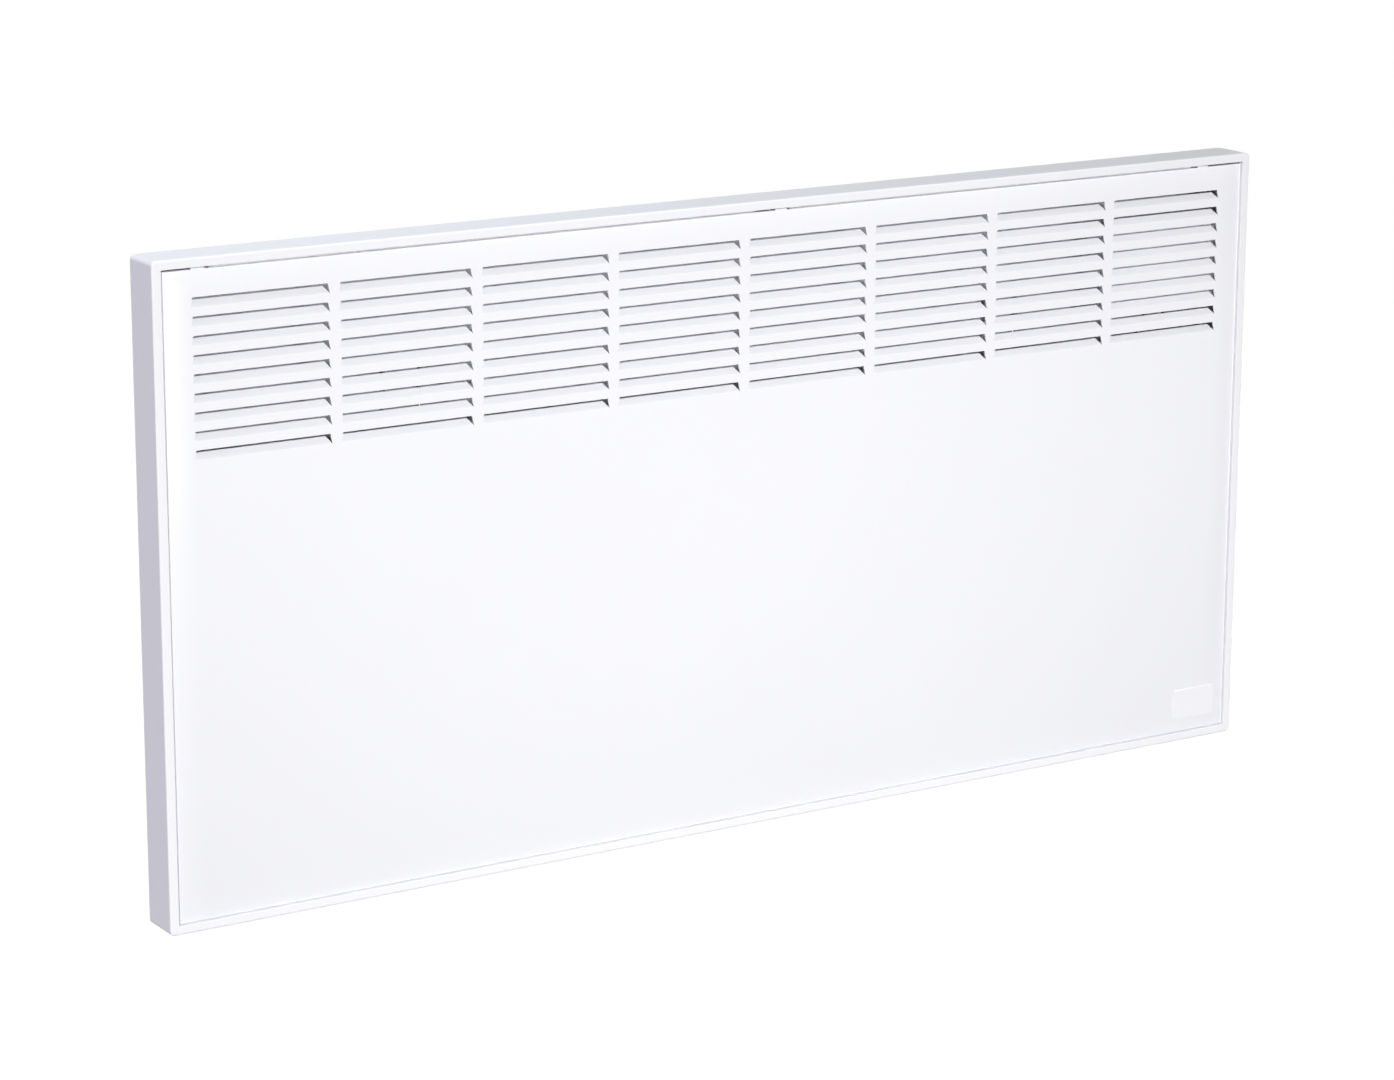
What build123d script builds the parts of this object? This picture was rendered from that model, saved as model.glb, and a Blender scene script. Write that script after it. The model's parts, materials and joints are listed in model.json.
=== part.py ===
from build123d import *

import os
from math import cos, radians, sin, tan

# Wall panel convector heater, in millimetres.
# X runs to the right as seen from the front and Z up. The wall is the plane Y = 0 and the heater
# hangs on its -Y side, so "out" is a distance from the wall, the same as -Y.
# The origin is the middle of the four wall screw holes.

# ---------------------------------------------------------------- driving sizes
# Casing frame: one folded sheet ring with a front lip, a return behind it and a back flange.
casing_width = 900.0
casing_height = 450.0
frame_depth = 32.0
frame_sheet = 1.0
corner_radius = 3.5
fold_radius = 1.4
lip_width = 6.5
lip_return = 5.0
lip_edge_radius = 0.6
back_flange = 13.0
mitre_width = 0.3
mitre_depth = 0.2

# Rear cover: a pressed pan whose rim lies on the frame's back flange.
wall_gap = 18.0
pan_depth = 12.0
cover_sheet = 0.8
pan_inset = 16.0
rim_inset = 2.0
pan_corner = 14.0
pan_fold = 4.0
bead_end_gap = 10.0
bead_height = 14.0
bead_rise = 1.2
bead_pitch = 42.0
bead_count = 3

# Front panel: set back behind the lip, with rows of lanced louvres.
panel_sheet = 0.8
panel_recess = 2.0
panel_gap = 1.5
panel_fold = 4.0
panel_edge_radius = 0.7
tab_width = 10.0
tab_reach = 2.0
tab_play = 0.2
tab_left_inset = 33.0
tab_right_inset = 43.0
tab_middle_offset = 30.0
louvre_rows = 9
louvre_top_inset = 26.0
louvre_side_inset = 25.0
slot_length = 100.0
slot_height = 7.0
slot_end_taper = 1.5
slot_bridge = 6.5
louvre_web = 5.5
flap_angle = 52.0

# Badge plate, left bare.
badge_width = 39.0
badge_height = 23.0
badge_thickness = 0.6
badge_corner = 1.0
badge_right_inset = 16.0
badge_bottom_inset = 16.5

# Air intake in the underside.
intake_length = 44.0
intake_width = 12.0
intake_bridge = 8.0
intake_end_inset = 82.0

# Wall rails and their hooks.
screw_spacing_x = 500.0
screw_spacing_z = 200.0
wall_screw_hole = 5.5
rail_end = 50.0
rail_width = 30.0
rail_sheet = 1.5
rail_play = 0.3
hook_top_inset = 30.0
hook_bottom_inset = 60.0
hook_rise = 10.0
hook_neck = 8.0
hook_depth = 4.0
hook_play = 0.5
hook_lead_in = 2.0
slot_side_play = 0.75
lift_play = 3.0

# Screws of the sheet metal.
screw_thread = 3.3
screw_hole_play = 0.3
screw_head = 7.0
screw_head_height = 2.4
screw_grip = 4.0
recess_length = 3.6
recess_width = 0.8
recess_depth = 1.0
head_rounding = 1.4
rim_screw_inset = 8.5
rim_screw_end = 50.0
rim_screws_across = 5
side_screw_spacing = 150.0

# Heating elements.
element_end_inset = 80.0
lower_element_height = 75.0
element_gap = 8.0
fin_height = 42.0
fin_depth = 20.0
fin_thickness = 1.2
fin_gap = 10.8
web_thickness = 2.0
tube_diameter = 13.0
rod_diameter = 8.4
rod_play = 0.1
bush_length = 12.0
bush_diameter = 14.0
bush_flange = 18.0
bush_flange_thickness = 2.0
bush_end_gap = 1.0
pin_diameter = 3.0
pin_length = 10.0
bracket_sheet = 1.2
bracket_foot = 15.0
bracket_margin = 9.0
bracket_rim = 4.0
bracket_screw_inset = 14.0

# Heat shield behind the elements.
shield_sheet = 0.5
shield_stand = 6.2
shield_end_gap = 4.0
shield_foot = 8.0
shield_below = 20.0
shield_above = 24.0

# Air deflector over the louvres.
deflector_sheet = 0.8
deflector_foot = 10.0
deflector_pan_play = 2.0
deflector_rise = 8.0
deflector_front_gap = 8.0
deflector_end_gap = 30.0

# Overheat cut-out, a snap disc in a clip on the heat shield.
cutout_right_inset = 250.0
cutout_above_fins = 13.0
cutout_diameter = 16.0
cutout_height = 8.0
clip_width = 36.0
clip_height = 14.0
clip_sheet = 1.0
tag_width = 5.0
tag_thickness = 0.8
tag_length = 8.0

# Controls, in a pocket of the right side wall.
control_drop = 78.0
pocket_height = 62.0
pocket_depth = 12.0
pocket_wall = 1.5
pocket_play = 1.0
pocket_corner = 4.0
bezel_flange = 2.0
bezel_proud = 0.8
knob_play = 1.0
knob_rise = 15.0
knob_proud = 3.0
knob_floor_gap = 1.0
knob_flutes = 24
flute_radius = 0.6
pointer_width = 1.0
knob_cavity = 14.0
knob_cavity_depth = 4.0
shaft_diameter = 5.0
shaft_play = 0.3
shaft_in_body = 12.0
shaft_in_knob = 6.0
shaft_flat = 0.8
neck_diameter = 8.0
neck_proud = 4.0
nut_across_flats = 11.0
nut_thickness = 2.5
thermostat_height = 28.0
thermostat_play = 0.4
thermostat_length = 26.5
thermostat_corner = 1.5
rocker_drop = 18.0
switch_width = 13.0
switch_height = 19.0
switch_wall = 1.0
switch_flange = 1.0
switch_flange_thickness = 1.5
switch_length = 22.0
switch_cavity = 6.0
switch_hole_play = 0.1
rocker_play = 0.3
rocker_end_play = 0.9
rocker_height = 6.0
rocker_dip = 1.8
rocker_belly = 1.0
rocker_tilt = 8.0
rocker_pivot_depth = 1.0
rocker_edge_radius = 0.4
rocker_pin = 2.0
rocker_pin_play = 0.3
lamp_diameter = 4.0
lamp_proud = 1.5
lamp_dome = 1.2
lamp_flange = 6.0
lamp_flange_thickness = 1.5
lamp_length = 12.0
lamp_drop = 3.0

# Control housing behind the last louvre column.
housing_height = 66.0
housing_length = 117.5
housing_wall = 1.8
housing_flap_gap = 0.8
housing_cover_sheet = 1.5
housing_cover_setback = 6.5
pillar_diameter = 8.0
pillar_inset = 12.0
pillar_screw = 3.0
pillar_hole_depth = 6.0
lead_notch_margin = 6.5
lead_notch_depth = 8.2
cover_notch = 3.6

# Mains inlet: gland in the underside, terminal block and earth stud behind it.
gland_right_inset = 45.0
gland_bore = 7.5
gland_neck = 11.0
gland_flange = 16.0
gland_flange_thickness = 2.0
gland_nut_thickness = 3.0
gland_play = 0.2
block_length = 38.0
block_depth = 16.0
block_height = 17.0
block_bottom_inset = 37.0
block_pin_gap = 6.0
block_screw_depth = 2.5
way_pitch = 12.0
way_hole = 5.0
way_depth = 5.0
earth_stud_diameter = 4.0
earth_stud_length = 9.0
earth_nut_across_flats = 7.0
earth_nut_thickness = 3.2
earth_washer = 1.5
earth_rise = 53.0
earth_shift = -7.0

# Temperature sensor of the thermostat.
bulb_diameter = 6.0
bulb_length = 60.0
bulb_wall_gap = 25.0
bulb_bottom_inset = 60.0
capillary_diameter = 1.6
capillary_reach = 10.0
capillary_inset = 2.5
bulb_clip_height = 8.0
bulb_clip_wall = 1.2
bulb_clip_foot = 12.0

# Internal leads and the clips that hold them.
lead_diameter = 2.2
lead_stand = 5.2
lead_bend = 9.0
lead_spacing = 21.0
clip_block_height = 6.0
clip_block_margin = 3.5
clip_block_cover = 3.0
clip_lead_play = 0.2
lead_entry_drop = 24.0
lead_entry_gap = 2.0
lead_entry_shift = 4.0
lead_loop_reach = 12.0
lead_loop_step = 4.0
lead_clip_drop = 44.0
lead_clip_pitch = 60.0
lead_clip_rise = 110.0
cutout_lead_over = 16.0
cutout_lead_fall = 10.0
cutout_lead_slope = 28.0
cutout_lead_side = 20.0
element_lead_rise = 12.0
element_lead_front = 4.0
element_lead_loop = 14.0
element_lead_drop = 18.0
link_lead_loop = 16.0
block_lead_rise = 12.0
capillary_straight = 30.0
capillary_slope = 30.0

# ---------------------------------------------------------------- derived places
left = -casing_width / 2
right = casing_width / 2
top = casing_height / 2
bottom = -casing_height / 2

cover_back = wall_gap
cover_inner = wall_gap + cover_sheet
frame_back = wall_gap + pan_depth
frame_front = frame_back + frame_depth
panel_front = frame_front - panel_recess
panel_inner = panel_front - panel_sheet
interior_middle = (cover_inner + panel_inner) / 2

pan_width = casing_width - 2 * pan_inset
pan_height = casing_height - 2 * pan_inset
bead_length = screw_spacing_x - rail_width - 2 * bead_end_gap
panel_width = casing_width - 2 * (lip_width + panel_gap)
panel_height = casing_height - 2 * (lip_width + panel_gap)
side_wall_inner = right - frame_sheet

louvre_pitch_x = slot_length + slot_bridge
louvre_pitch_z = slot_height + louvre_web
louvre_span = casing_width - 2 * louvre_side_inset + slot_bridge
louvre_columns = int(louvre_span // louvre_pitch_x)
flap_lean = radians(flap_angle)
flap_tip = panel_front - slot_height * sin(flap_lean) - panel_sheet * cos(flap_lean)

intake_pitch = intake_length + intake_bridge
intake_count = int((casing_width - 2 * intake_end_inset) // intake_pitch)

rail_length = screw_spacing_z + 2 * rail_end
rail_places = (-screw_spacing_x / 2, screw_spacing_x / 2)
rail_leg = wall_gap - rail_play
hook_seats = (-rail_length / 2 + hook_bottom_inset, rail_length / 2 - hook_top_inset)
hook_slot_height = hook_neck + hook_rise + lift_play
leg_offset = (rail_width - rail_sheet) / 2

element_length = casing_width - 2 * element_end_inset
element_pitch = fin_height + element_gap
element_heights = (
    bottom + lower_element_height,
    bottom + lower_element_height + element_pitch,
)
fin_pitch = fin_thickness + fin_gap
fin_count = int(element_length // fin_pitch)
bracket_face = element_length / 2 + bush_flange_thickness + bush_end_gap
rod_length = element_length + 2 * bush_length
shield_front = cover_inner + shield_stand

pocket_inner_edge = frame_back + frame_sheet + pocket_play
pocket_outer_edge = panel_front - panel_fold - pocket_play
pocket_middle = (pocket_inner_edge + pocket_outer_edge) / 2
pocket_width = pocket_outer_edge - pocket_inner_edge - 2 * pocket_wall
pocket_z = top - control_drop
floor_outer = right - pocket_depth
floor_inner = floor_outer - pocket_wall
knob_z = pocket_z + knob_rise
knob_diameter = pocket_width - 2 * knob_play
knob_back = floor_outer + knob_floor_gap
knob_front = right + knob_proud
rocker_z = pocket_z - rocker_drop
lamp_z = pocket_z - lamp_drop
rocker_pivot_x = floor_outer - rocker_pivot_depth
housing_front = flap_tip - housing_flap_gap
housing_left = floor_inner - housing_length
thermostat_depth = 2 * (housing_front - housing_wall - thermostat_play - pocket_middle)

gland_x = right - gland_right_inset
block_top = bottom + block_bottom_inset + block_height
block_x = element_length / 2 + bush_length + pin_length + block_pin_gap
ways = (block_x - way_pitch, block_x, block_x + way_pitch)
lead_out = cover_inner + lead_stand
live_x = ways[1]
heating_x = live_x - lead_spacing
bulb_x = side_wall_inner - bulb_wall_gap
bulb_top = bottom + bulb_bottom_inset + bulb_length

rim_screw_x = right - rim_screw_inset
rim_screw_z = top - rim_screw_inset
rim_screw_pitch = (casing_width - 2 * rim_screw_end) / (rim_screws_across - 1)
rim_screws = [
    (left + rim_screw_end + step * rim_screw_pitch, side * rim_screw_z)
    for side in (-1, 1)
    for step in range(rim_screws_across)
]
rim_screws += [
    (side * rim_screw_x, half * side_screw_spacing / 2)
    for side in (-1, 1)
    for half in (-1, 1)
]
bracket_low = element_heights[0] - fin_height / 2 + bracket_rim
bracket_high = element_heights[1] + fin_height / 2 - bracket_rim
bracket_screws_at = [
    (side * (bracket_face - bracket_foot / 2), height)
    for side in (-1, 1)
    for height in (bracket_low + bracket_screw_inset, bracket_high - bracket_screw_inset)
]
pillars = [
    (housing_left + pillar_inset, pocket_z - housing_height / 2 + pillar_inset),
    (housing_left + pillar_inset, pocket_z + housing_height / 2 - pillar_inset),
    (floor_inner - housing_cover_setback - pillar_inset, pocket_z + housing_height / 2 - pillar_inset),
]
hook_slots = [
    (rail + leg * leg_offset, seat - hook_slot_height / 2)
    for rail in rail_places
    for leg in (-1, 1)
    for seat in hook_seats
]

os.makedirs("parts", exist_ok=True)


def at(x, out, z):
    """A point of the heater, with its distance out from the wall."""
    return (x, -out, z)


def facing_front(out):
    """The plane parallel to the wall at this distance, looking to the front."""
    return Plane.XZ.offset(out)


def set_in(corner, inset):
    """A point on the mitre line of this corner, that far inside both of its edges."""
    return tuple(value - inset if value > 0 else value + inset for value in corner)


def ring(width, height, wall, corner=0.0):
    """A rectangular ring in the sketch that is open, with its corners rounded outside."""
    inner_corner = max(corner - wall, 0.0)
    if corner > 0:
        RectangleRounded(width, height, corner)
    else:
        Rectangle(width, height)
    if inner_corner > 0:
        RectangleRounded(width - 2 * wall, height - 2 * wall, inner_corner, mode=Mode.SUBTRACT)
    else:
        Rectangle(width - 2 * wall, height - 2 * wall, mode=Mode.SUBTRACT)


def cross_recess_screws(points, seat, thread, head, head_height, grip):
    """Pan-head screws whose heads sit on the wall side of a sheet at this distance."""
    with BuildPart() as screws:
        for diameter, reach in ((head, -head_height), (thread, grip)):
            with BuildSketch(facing_front(seat)):
                with Locations(*points):
                    Circle(diameter / 2)
            extrude(amount=reach)
        head_rims = [
            edge
            for edge in screws.edges().filter_by(GeomType.CIRCLE)
            if abs(edge.center().Y + seat - head_height) < 0.01
        ]
        fillet(head_rims, radius=head_rounding)
        with BuildSketch(facing_front(seat - head_height)):
            with Locations(*points):
                Rectangle(recess_length, recess_width)
                Rectangle(recess_width, recess_length)
        extrude(amount=recess_depth, mode=Mode.SUBTRACT)
    return screws


# ---------------------------------------------------------------- wall rails
for side_name, rail_x, hand in (("left", rail_places[0], -1), ("right", rail_places[1], 1)):
    with BuildPart() as wall_rail:
        with BuildSketch(facing_front(0)):
            with Locations((rail_x, 0)):
                Rectangle(rail_width, rail_length)
        extrude(amount=rail_sheet)
        with BuildSketch(facing_front(0)):
            with Locations((rail_x - leg_offset, 0), (rail_x + leg_offset, 0)):
                Rectangle(rail_sheet, rail_length)
        extrude(amount=rail_leg)
        # Each leg ends in two hooks: a neck through the cover and a tongue rising behind it.
        neck_end = cover_inner + hook_play
        tongue_end = neck_end + hook_depth
        for leg in (-1, 1):
            with BuildSketch(Plane.YZ.offset(rail_x + leg * leg_offset - rail_sheet / 2)):
                for seat in hook_seats:
                    with BuildLine():
                        Polyline(
                            (-rail_leg + rail_sheet, seat - hook_neck),
                            (-tongue_end, seat - hook_neck),
                            (-tongue_end, seat + hook_rise - hook_lead_in),
                            (-tongue_end + hook_lead_in, seat + hook_rise),
                            (-neck_end, seat + hook_rise),
                            (-neck_end, seat),
                            (-rail_leg + rail_sheet, seat),
                            close=True,
                        )
                    make_face()
            extrude(amount=rail_sheet)
        with BuildSketch(facing_front(0)):
            with Locations((rail_x, screw_spacing_z / 2), (rail_x, -screw_spacing_z / 2)):
                Circle(wall_screw_hole / 2)
        extrude(amount=rail_sheet, mode=Mode.SUBTRACT)
    wall_rail.part.label = f"wall_rail_{side_name}"
    export_step(wall_rail.part, f"parts/wall_rail_{side_name}.step")

# ---------------------------------------------------------------- casing frame
tab_places = (left + tab_left_inset, tab_middle_offset, right - tab_right_inset)

with BuildPart() as frame_ring:
    with BuildSketch(facing_front(frame_back)):
        ring(casing_width, casing_height, frame_sheet, corner_radius)
    extrude(amount=frame_depth)
    with BuildSketch(facing_front(frame_front - frame_sheet)):
        ring(casing_width, casing_height, lip_width, corner_radius)
    extrude(amount=frame_sheet)
    with BuildSketch(facing_front(frame_front - lip_return)):
        ring(
            casing_width - 2 * (lip_width - frame_sheet),
            casing_height - 2 * (lip_width - frame_sheet),
            frame_sheet,
        )
    extrude(amount=lip_return)
    with BuildSketch(facing_front(frame_back)):
        ring(casing_width, casing_height, back_flange, corner_radius)
    extrude(amount=frame_sheet)
    lip_face = frame_ring.faces().sort_by(Axis.Y)[0]
    outer_fold = lip_face.outer_wire().edges()
    fillet(outer_fold, radius=fold_radius)
    lip_face = frame_ring.faces().sort_by(Axis.Y)[0]
    inner_fold = lip_face.inner_wires()[0].edges()
    fillet(inner_fold, radius=lip_edge_radius)
    # Mitre lines where the four lips meet.
    with BuildSketch(facing_front(frame_front)):
        for side in (-1, 1):
            for end in (-1, 1):
                with Locations((side * (right - lip_width / 2), end * (top - lip_width / 2))):
                    Rectangle(2 * lip_width, mitre_width, rotation=45 * side * end)
    extrude(amount=-mitre_depth, mode=Mode.SUBTRACT)
    # Slots in the return for the panel's tabs.
    with BuildSketch(facing_front(panel_inner)):
        for end in (-1, 1):
            with Locations(*[(x, end * (top - lip_width + frame_sheet / 2)) for x in tab_places]):
                Rectangle(tab_width + 2 * tab_play, 2 * frame_sheet)
    extrude(amount=panel_sheet, mode=Mode.SUBTRACT)
    # Air intake and cord gland in the underside.
    with BuildSketch(Plane.XY.offset(bottom)):
        with Locations((0, -interior_middle)):
            with GridLocations(intake_pitch, 0, intake_count, 1):
                SlotOverall(intake_length, intake_width)
        with Locations((gland_x, -interior_middle)):
            Circle(gland_neck / 2 + gland_play)
    extrude(amount=frame_sheet, mode=Mode.SUBTRACT)
    # Opening of the control pocket in the right side wall.
    with BuildSketch(Plane.YZ.offset(side_wall_inner)):
        with Locations((-pocket_middle, pocket_z)):
            RectangleRounded(
                pocket_width + 2 * pocket_wall, pocket_height + 2 * pocket_wall, pocket_corner
            )
    extrude(amount=frame_sheet, mode=Mode.SUBTRACT)
    with BuildSketch(facing_front(frame_back)):
        with Locations(*rim_screws):
            Circle(screw_thread / 2)
    extrude(amount=frame_sheet, mode=Mode.SUBTRACT)

# The ring is four rails, cut apart along the mitres at its corners.
rail_corners = {
    "top": ((left, top), (right, top)),
    "right": ((right, top), (right, bottom)),
    "bottom": ((right, bottom), (left, bottom)),
    "left": ((left, bottom), (left, top)),
}
mitre_reach = back_flange + corner_radius
for side_name, (start, end) in rail_corners.items():
    with BuildPart() as frame_rail:
        add(frame_ring.part)
        with BuildSketch(facing_front(frame_back)):
            with BuildLine():
                Polyline(
                    set_in(start, -corner_radius),
                    set_in(end, -corner_radius),
                    set_in(end, mitre_reach),
                    set_in(start, mitre_reach),
                    close=True,
                )
            make_face()
        extrude(amount=frame_depth, mode=Mode.INTERSECT)
    frame_rail.part.label = f"casing_frame_{side_name}"
    export_step(frame_rail.part, f"parts/casing_frame_{side_name}.step")

# ---------------------------------------------------------------- front panel
first_slot_z = top - louvre_top_inset - slot_height
row_heights = [first_slot_z - row * louvre_pitch_z for row in range(louvre_rows)]
column_places = [
    (column - (louvre_columns - 1) / 2) * louvre_pitch_x for column in range(louvre_columns)
]

with BuildPart() as front_panel:
    with BuildSketch(facing_front(panel_inner)):
        Rectangle(panel_width, panel_height)
    extrude(amount=panel_sheet)
    with BuildSketch(facing_front(panel_front - panel_fold)):
        ring(panel_width, panel_height, panel_sheet)
    extrude(amount=panel_fold)
    panel_face = front_panel.faces().sort_by(Axis.Y)[0]
    fillet(panel_face.outer_wire().edges(), radius=panel_edge_radius)
    # Tabs that reach across the gap and through the frame's return.
    tab_start = panel_height / 2 - panel_fold
    tab_end = panel_height / 2 + panel_gap + frame_sheet + tab_reach
    with BuildSketch(facing_front(panel_inner)):
        for end in (-1, 1):
            with Locations(*[(x, end * (tab_start + tab_end) / 2) for x in tab_places]):
                Rectangle(tab_width, tab_end - tab_start)
    extrude(amount=panel_sheet)
    # Louvres: a slot wider at its foot, and the flap cut from it leaning in from that foot.
    end_angle = 90 - Vector(slot_height, slot_end_taper).get_angle(Vector(1, 0))
    with BuildSketch(facing_front(panel_inner)):
        with Locations(*[(x, z) for x in column_places for z in row_heights]):
            Trapezoid(slot_length, slot_height, end_angle, align=(Align.CENTER, Align.MIN))
    extrude(amount=panel_sheet, mode=Mode.SUBTRACT)
    for row_z in row_heights:
        flap_plane = Plane(
            origin=at(0, panel_front, row_z),
            x_dir=(1, 0, 0),
            z_dir=(0, -cos(flap_lean), sin(flap_lean)),
        )
        with BuildSketch(flap_plane):
            with Locations(*[(x, 0) for x in column_places]):
                Trapezoid(slot_length, slot_height, end_angle, align=(Align.CENTER, Align.MIN))
        extrude(amount=-panel_sheet)
front_panel.part.label = "front_panel"
export_step(front_panel.part, "parts/front_panel.step")

# ---------------------------------------------------------------- badge plate
badge_x = right - badge_right_inset - badge_width / 2
badge_z = bottom + badge_bottom_inset + badge_height / 2

with BuildPart() as badge_plate:
    with BuildSketch(facing_front(panel_front)):
        with Locations((badge_x, badge_z)):
            RectangleRounded(badge_width, badge_height, badge_corner)
    extrude(amount=badge_thickness)
    chamfer(badge_plate.faces().sort_by(Axis.Y)[0].edges(), length=badge_thickness / 3)
badge_plate.part.label = "badge_plate"
export_step(badge_plate.part, "parts/badge_plate.step")

# ---------------------------------------------------------------- rear cover
with BuildPart() as rear_cover:
    with BuildSketch(facing_front(cover_back)):
        RectangleRounded(pan_width, pan_height, pan_corner)
    extrude(amount=pan_depth)
    fillet(rear_cover.faces().sort_by(Axis.Y)[-1].edges(), radius=pan_fold)
    offset(
        amount=-cover_sheet,
        openings=rear_cover.faces().sort_by(Axis.Y)[0],
        kind=Kind.INTERSECTION,
    )
    with BuildSketch(facing_front(frame_back - cover_sheet)):
        RectangleRounded(
            casing_width - 2 * rim_inset, casing_height - 2 * rim_inset, corner_radius
        )
        RectangleRounded(
            pan_width - cover_sheet, pan_height - cover_sheet, pan_corner, mode=Mode.SUBTRACT
        )
    extrude(amount=cover_sheet)
    # Pressed beads that stiffen the pan between the hook rows.
    with BuildSketch(facing_front(cover_back - bead_rise)):
        with GridLocations(0, bead_pitch, 1, bead_count):
            SlotOverall(bead_length, bead_height)
    extrude(amount=bead_rise + cover_sheet / 2)
    with BuildSketch(facing_front(cover_back - bead_rise + cover_sheet)):
        with GridLocations(0, bead_pitch, 1, bead_count):
            SlotOverall(bead_length - 2 * cover_sheet, bead_height - 2 * cover_sheet)
    extrude(amount=bead_rise, mode=Mode.SUBTRACT)
    with BuildSketch(facing_front(cover_back)):
        with Locations(*hook_slots):
            Rectangle(rail_sheet + 2 * slot_side_play, hook_slot_height)
    extrude(amount=cover_sheet, mode=Mode.SUBTRACT)
    with BuildSketch(facing_front(frame_back - cover_sheet)):
        with Locations(*rim_screws):
            Circle((screw_thread + screw_hole_play) / 2)
    extrude(amount=cover_sheet, mode=Mode.SUBTRACT)
    with BuildSketch(facing_front(cover_back)):
        with Locations(*bracket_screws_at):
            Circle((screw_thread + screw_hole_play) / 2)
        with Locations(*pillars):
            Circle((pillar_screw + screw_hole_play) / 2)
    extrude(amount=cover_sheet, mode=Mode.SUBTRACT)
rear_cover.part.label = "rear_cover"
export_step(rear_cover.part, "parts/rear_cover.step")

rear_cover_screws = cross_recess_screws(
    rim_screws,
    frame_back - cover_sheet,
    screw_thread,
    screw_head,
    screw_head_height,
    screw_grip,
)
rear_cover_screws.part.label = "rear_cover_screws"
export_step(rear_cover_screws.part, "parts/rear_cover_screws.step")

# ---------------------------------------------------------------- heating elements
for element_name, element_z in zip(("lower", "upper"), element_heights):
    with BuildPart() as element:
        with BuildSketch(Plane.YZ.offset(-element_length / 2)):
            with Locations((-interior_middle, element_z)):
                Circle(tube_diameter / 2)
                Rectangle(web_thickness, fin_height)
        extrude(amount=element_length)
        with BuildSketch(facing_front(interior_middle - fin_depth / 2)):
            with Locations((0, element_z)):
                with GridLocations(fin_pitch, 0, fin_count, 1):
                    Rectangle(fin_thickness, fin_height)
        extrude(amount=fin_depth)
        with BuildSketch(Plane.YZ.offset(-element_length / 2)):
            with Locations((-interior_middle, element_z)):
                Circle(rod_diameter / 2 + rod_play)
        extrude(amount=element_length, mode=Mode.SUBTRACT)
    element.part.label = f"element_{element_name}"
    export_step(element.part, f"parts/element_{element_name}.step")

with BuildPart() as element_rods:
    with BuildSketch(Plane.YZ.offset(-rod_length / 2)):
        with Locations(*[(-interior_middle, height) for height in element_heights]):
            Circle(rod_diameter / 2)
    extrude(amount=rod_length)
element_rods.part.label = "element_rods"
export_step(element_rods.part, "parts/element_rods.step")

with BuildPart() as terminal_pins:
    for start, reach in ((rod_length / 2, pin_length), (-rod_length / 2, -pin_length)):
        with BuildSketch(Plane.YZ.offset(start)):
            with Locations(*[(-interior_middle, height) for height in element_heights]):
                Circle(pin_diameter / 2)
        extrude(amount=reach)
terminal_pins.part.label = "terminal_pins"
export_step(terminal_pins.part, "parts/terminal_pins.step")

with BuildPart() as element_bushes:
    for hand in (-1, 1):
        for diameter, start, length in (
            (bush_flange, bracket_face - bush_flange_thickness, bush_flange_thickness),
            (bush_diameter, bracket_face, bush_length - bush_flange_thickness - bush_end_gap),
        ):
            with BuildSketch(Plane.YZ.offset(hand * start)):
                with Locations(*[(-interior_middle, height) for height in element_heights]):
                    Circle(diameter / 2)
                    Circle(rod_diameter / 2, mode=Mode.SUBTRACT)
            extrude(amount=hand * length)
element_bushes.part.label = "element_bushes"
export_step(element_bushes.part, "parts/element_bushes.step")

for side_name, hand in (("left", -1), ("right", 1)):
    with BuildPart() as element_bracket:
        bracket_height = bracket_high - bracket_low + 2 * bracket_margin
        bracket_z = (bracket_high + bracket_low) / 2
        bracket_front = interior_middle + bush_diameter / 2 + bracket_rim
        bracket_middle = (bracket_front + cover_inner) / 2
        with BuildSketch(Plane.YZ.offset(hand * bracket_face)):
            with Locations((-bracket_middle, bracket_z)):
                Rectangle(bracket_front - cover_inner, bracket_height)
            with Locations(*[(-interior_middle, height) for height in element_heights]):
                Circle(bush_diameter / 2, mode=Mode.SUBTRACT)
        extrude(amount=hand * bracket_sheet)
        with BuildSketch(facing_front(cover_inner)):
            with Locations((hand * (bracket_face - bracket_foot / 2), bracket_z)):
                Rectangle(bracket_foot, bracket_height)
            with Locations(*bracket_screws_at):
                Circle(screw_thread / 2, mode=Mode.SUBTRACT)
        extrude(amount=bracket_sheet)
    element_bracket.part.label = f"element_bracket_{side_name}"
    export_step(element_bracket.part, f"parts/element_bracket_{side_name}.step")

element_bracket_screws = cross_recess_screws(
    bracket_screws_at, cover_back, screw_thread, screw_head, screw_head_height, screw_grip
)
element_bracket_screws.part.label = "element_bracket_screws"
export_step(element_bracket_screws.part, "parts/element_bracket_screws.step")

# ---------------------------------------------------------------- heat shield
shield_low = element_heights[0] - fin_height / 2 - shield_below
shield_high = element_heights[1] + fin_height / 2 + shield_above
shield_half = bracket_face - bracket_foot - shield_end_gap

with BuildPart() as heat_shield:
    with BuildSketch(Plane.XY.offset(shield_low)):
        for hand in (-1, 1):
            with Locations((hand * (shield_half - shield_sheet / 2), -(cover_inner + shield_front) / 2)):
                Rectangle(shield_sheet, shield_stand)
            with Locations((hand * (shield_half - shield_foot / 2), -cover_inner - shield_sheet / 2)):
                Rectangle(shield_foot, shield_sheet)
        with Locations((0, -shield_front - shield_sheet / 2)):
            Rectangle(2 * shield_half, shield_sheet)
    extrude(amount=shield_high - shield_low)
heat_shield.part.label = "heat_shield"
export_step(heat_shield.part, "parts/heat_shield.step")

# ---------------------------------------------------------------- air deflector
deflector_top = pan_height / 2 - cover_sheet - pan_fold - deflector_pan_play
deflector_end = panel_inner - deflector_front_gap
deflector_length = casing_width - 2 * deflector_end_gap

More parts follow.
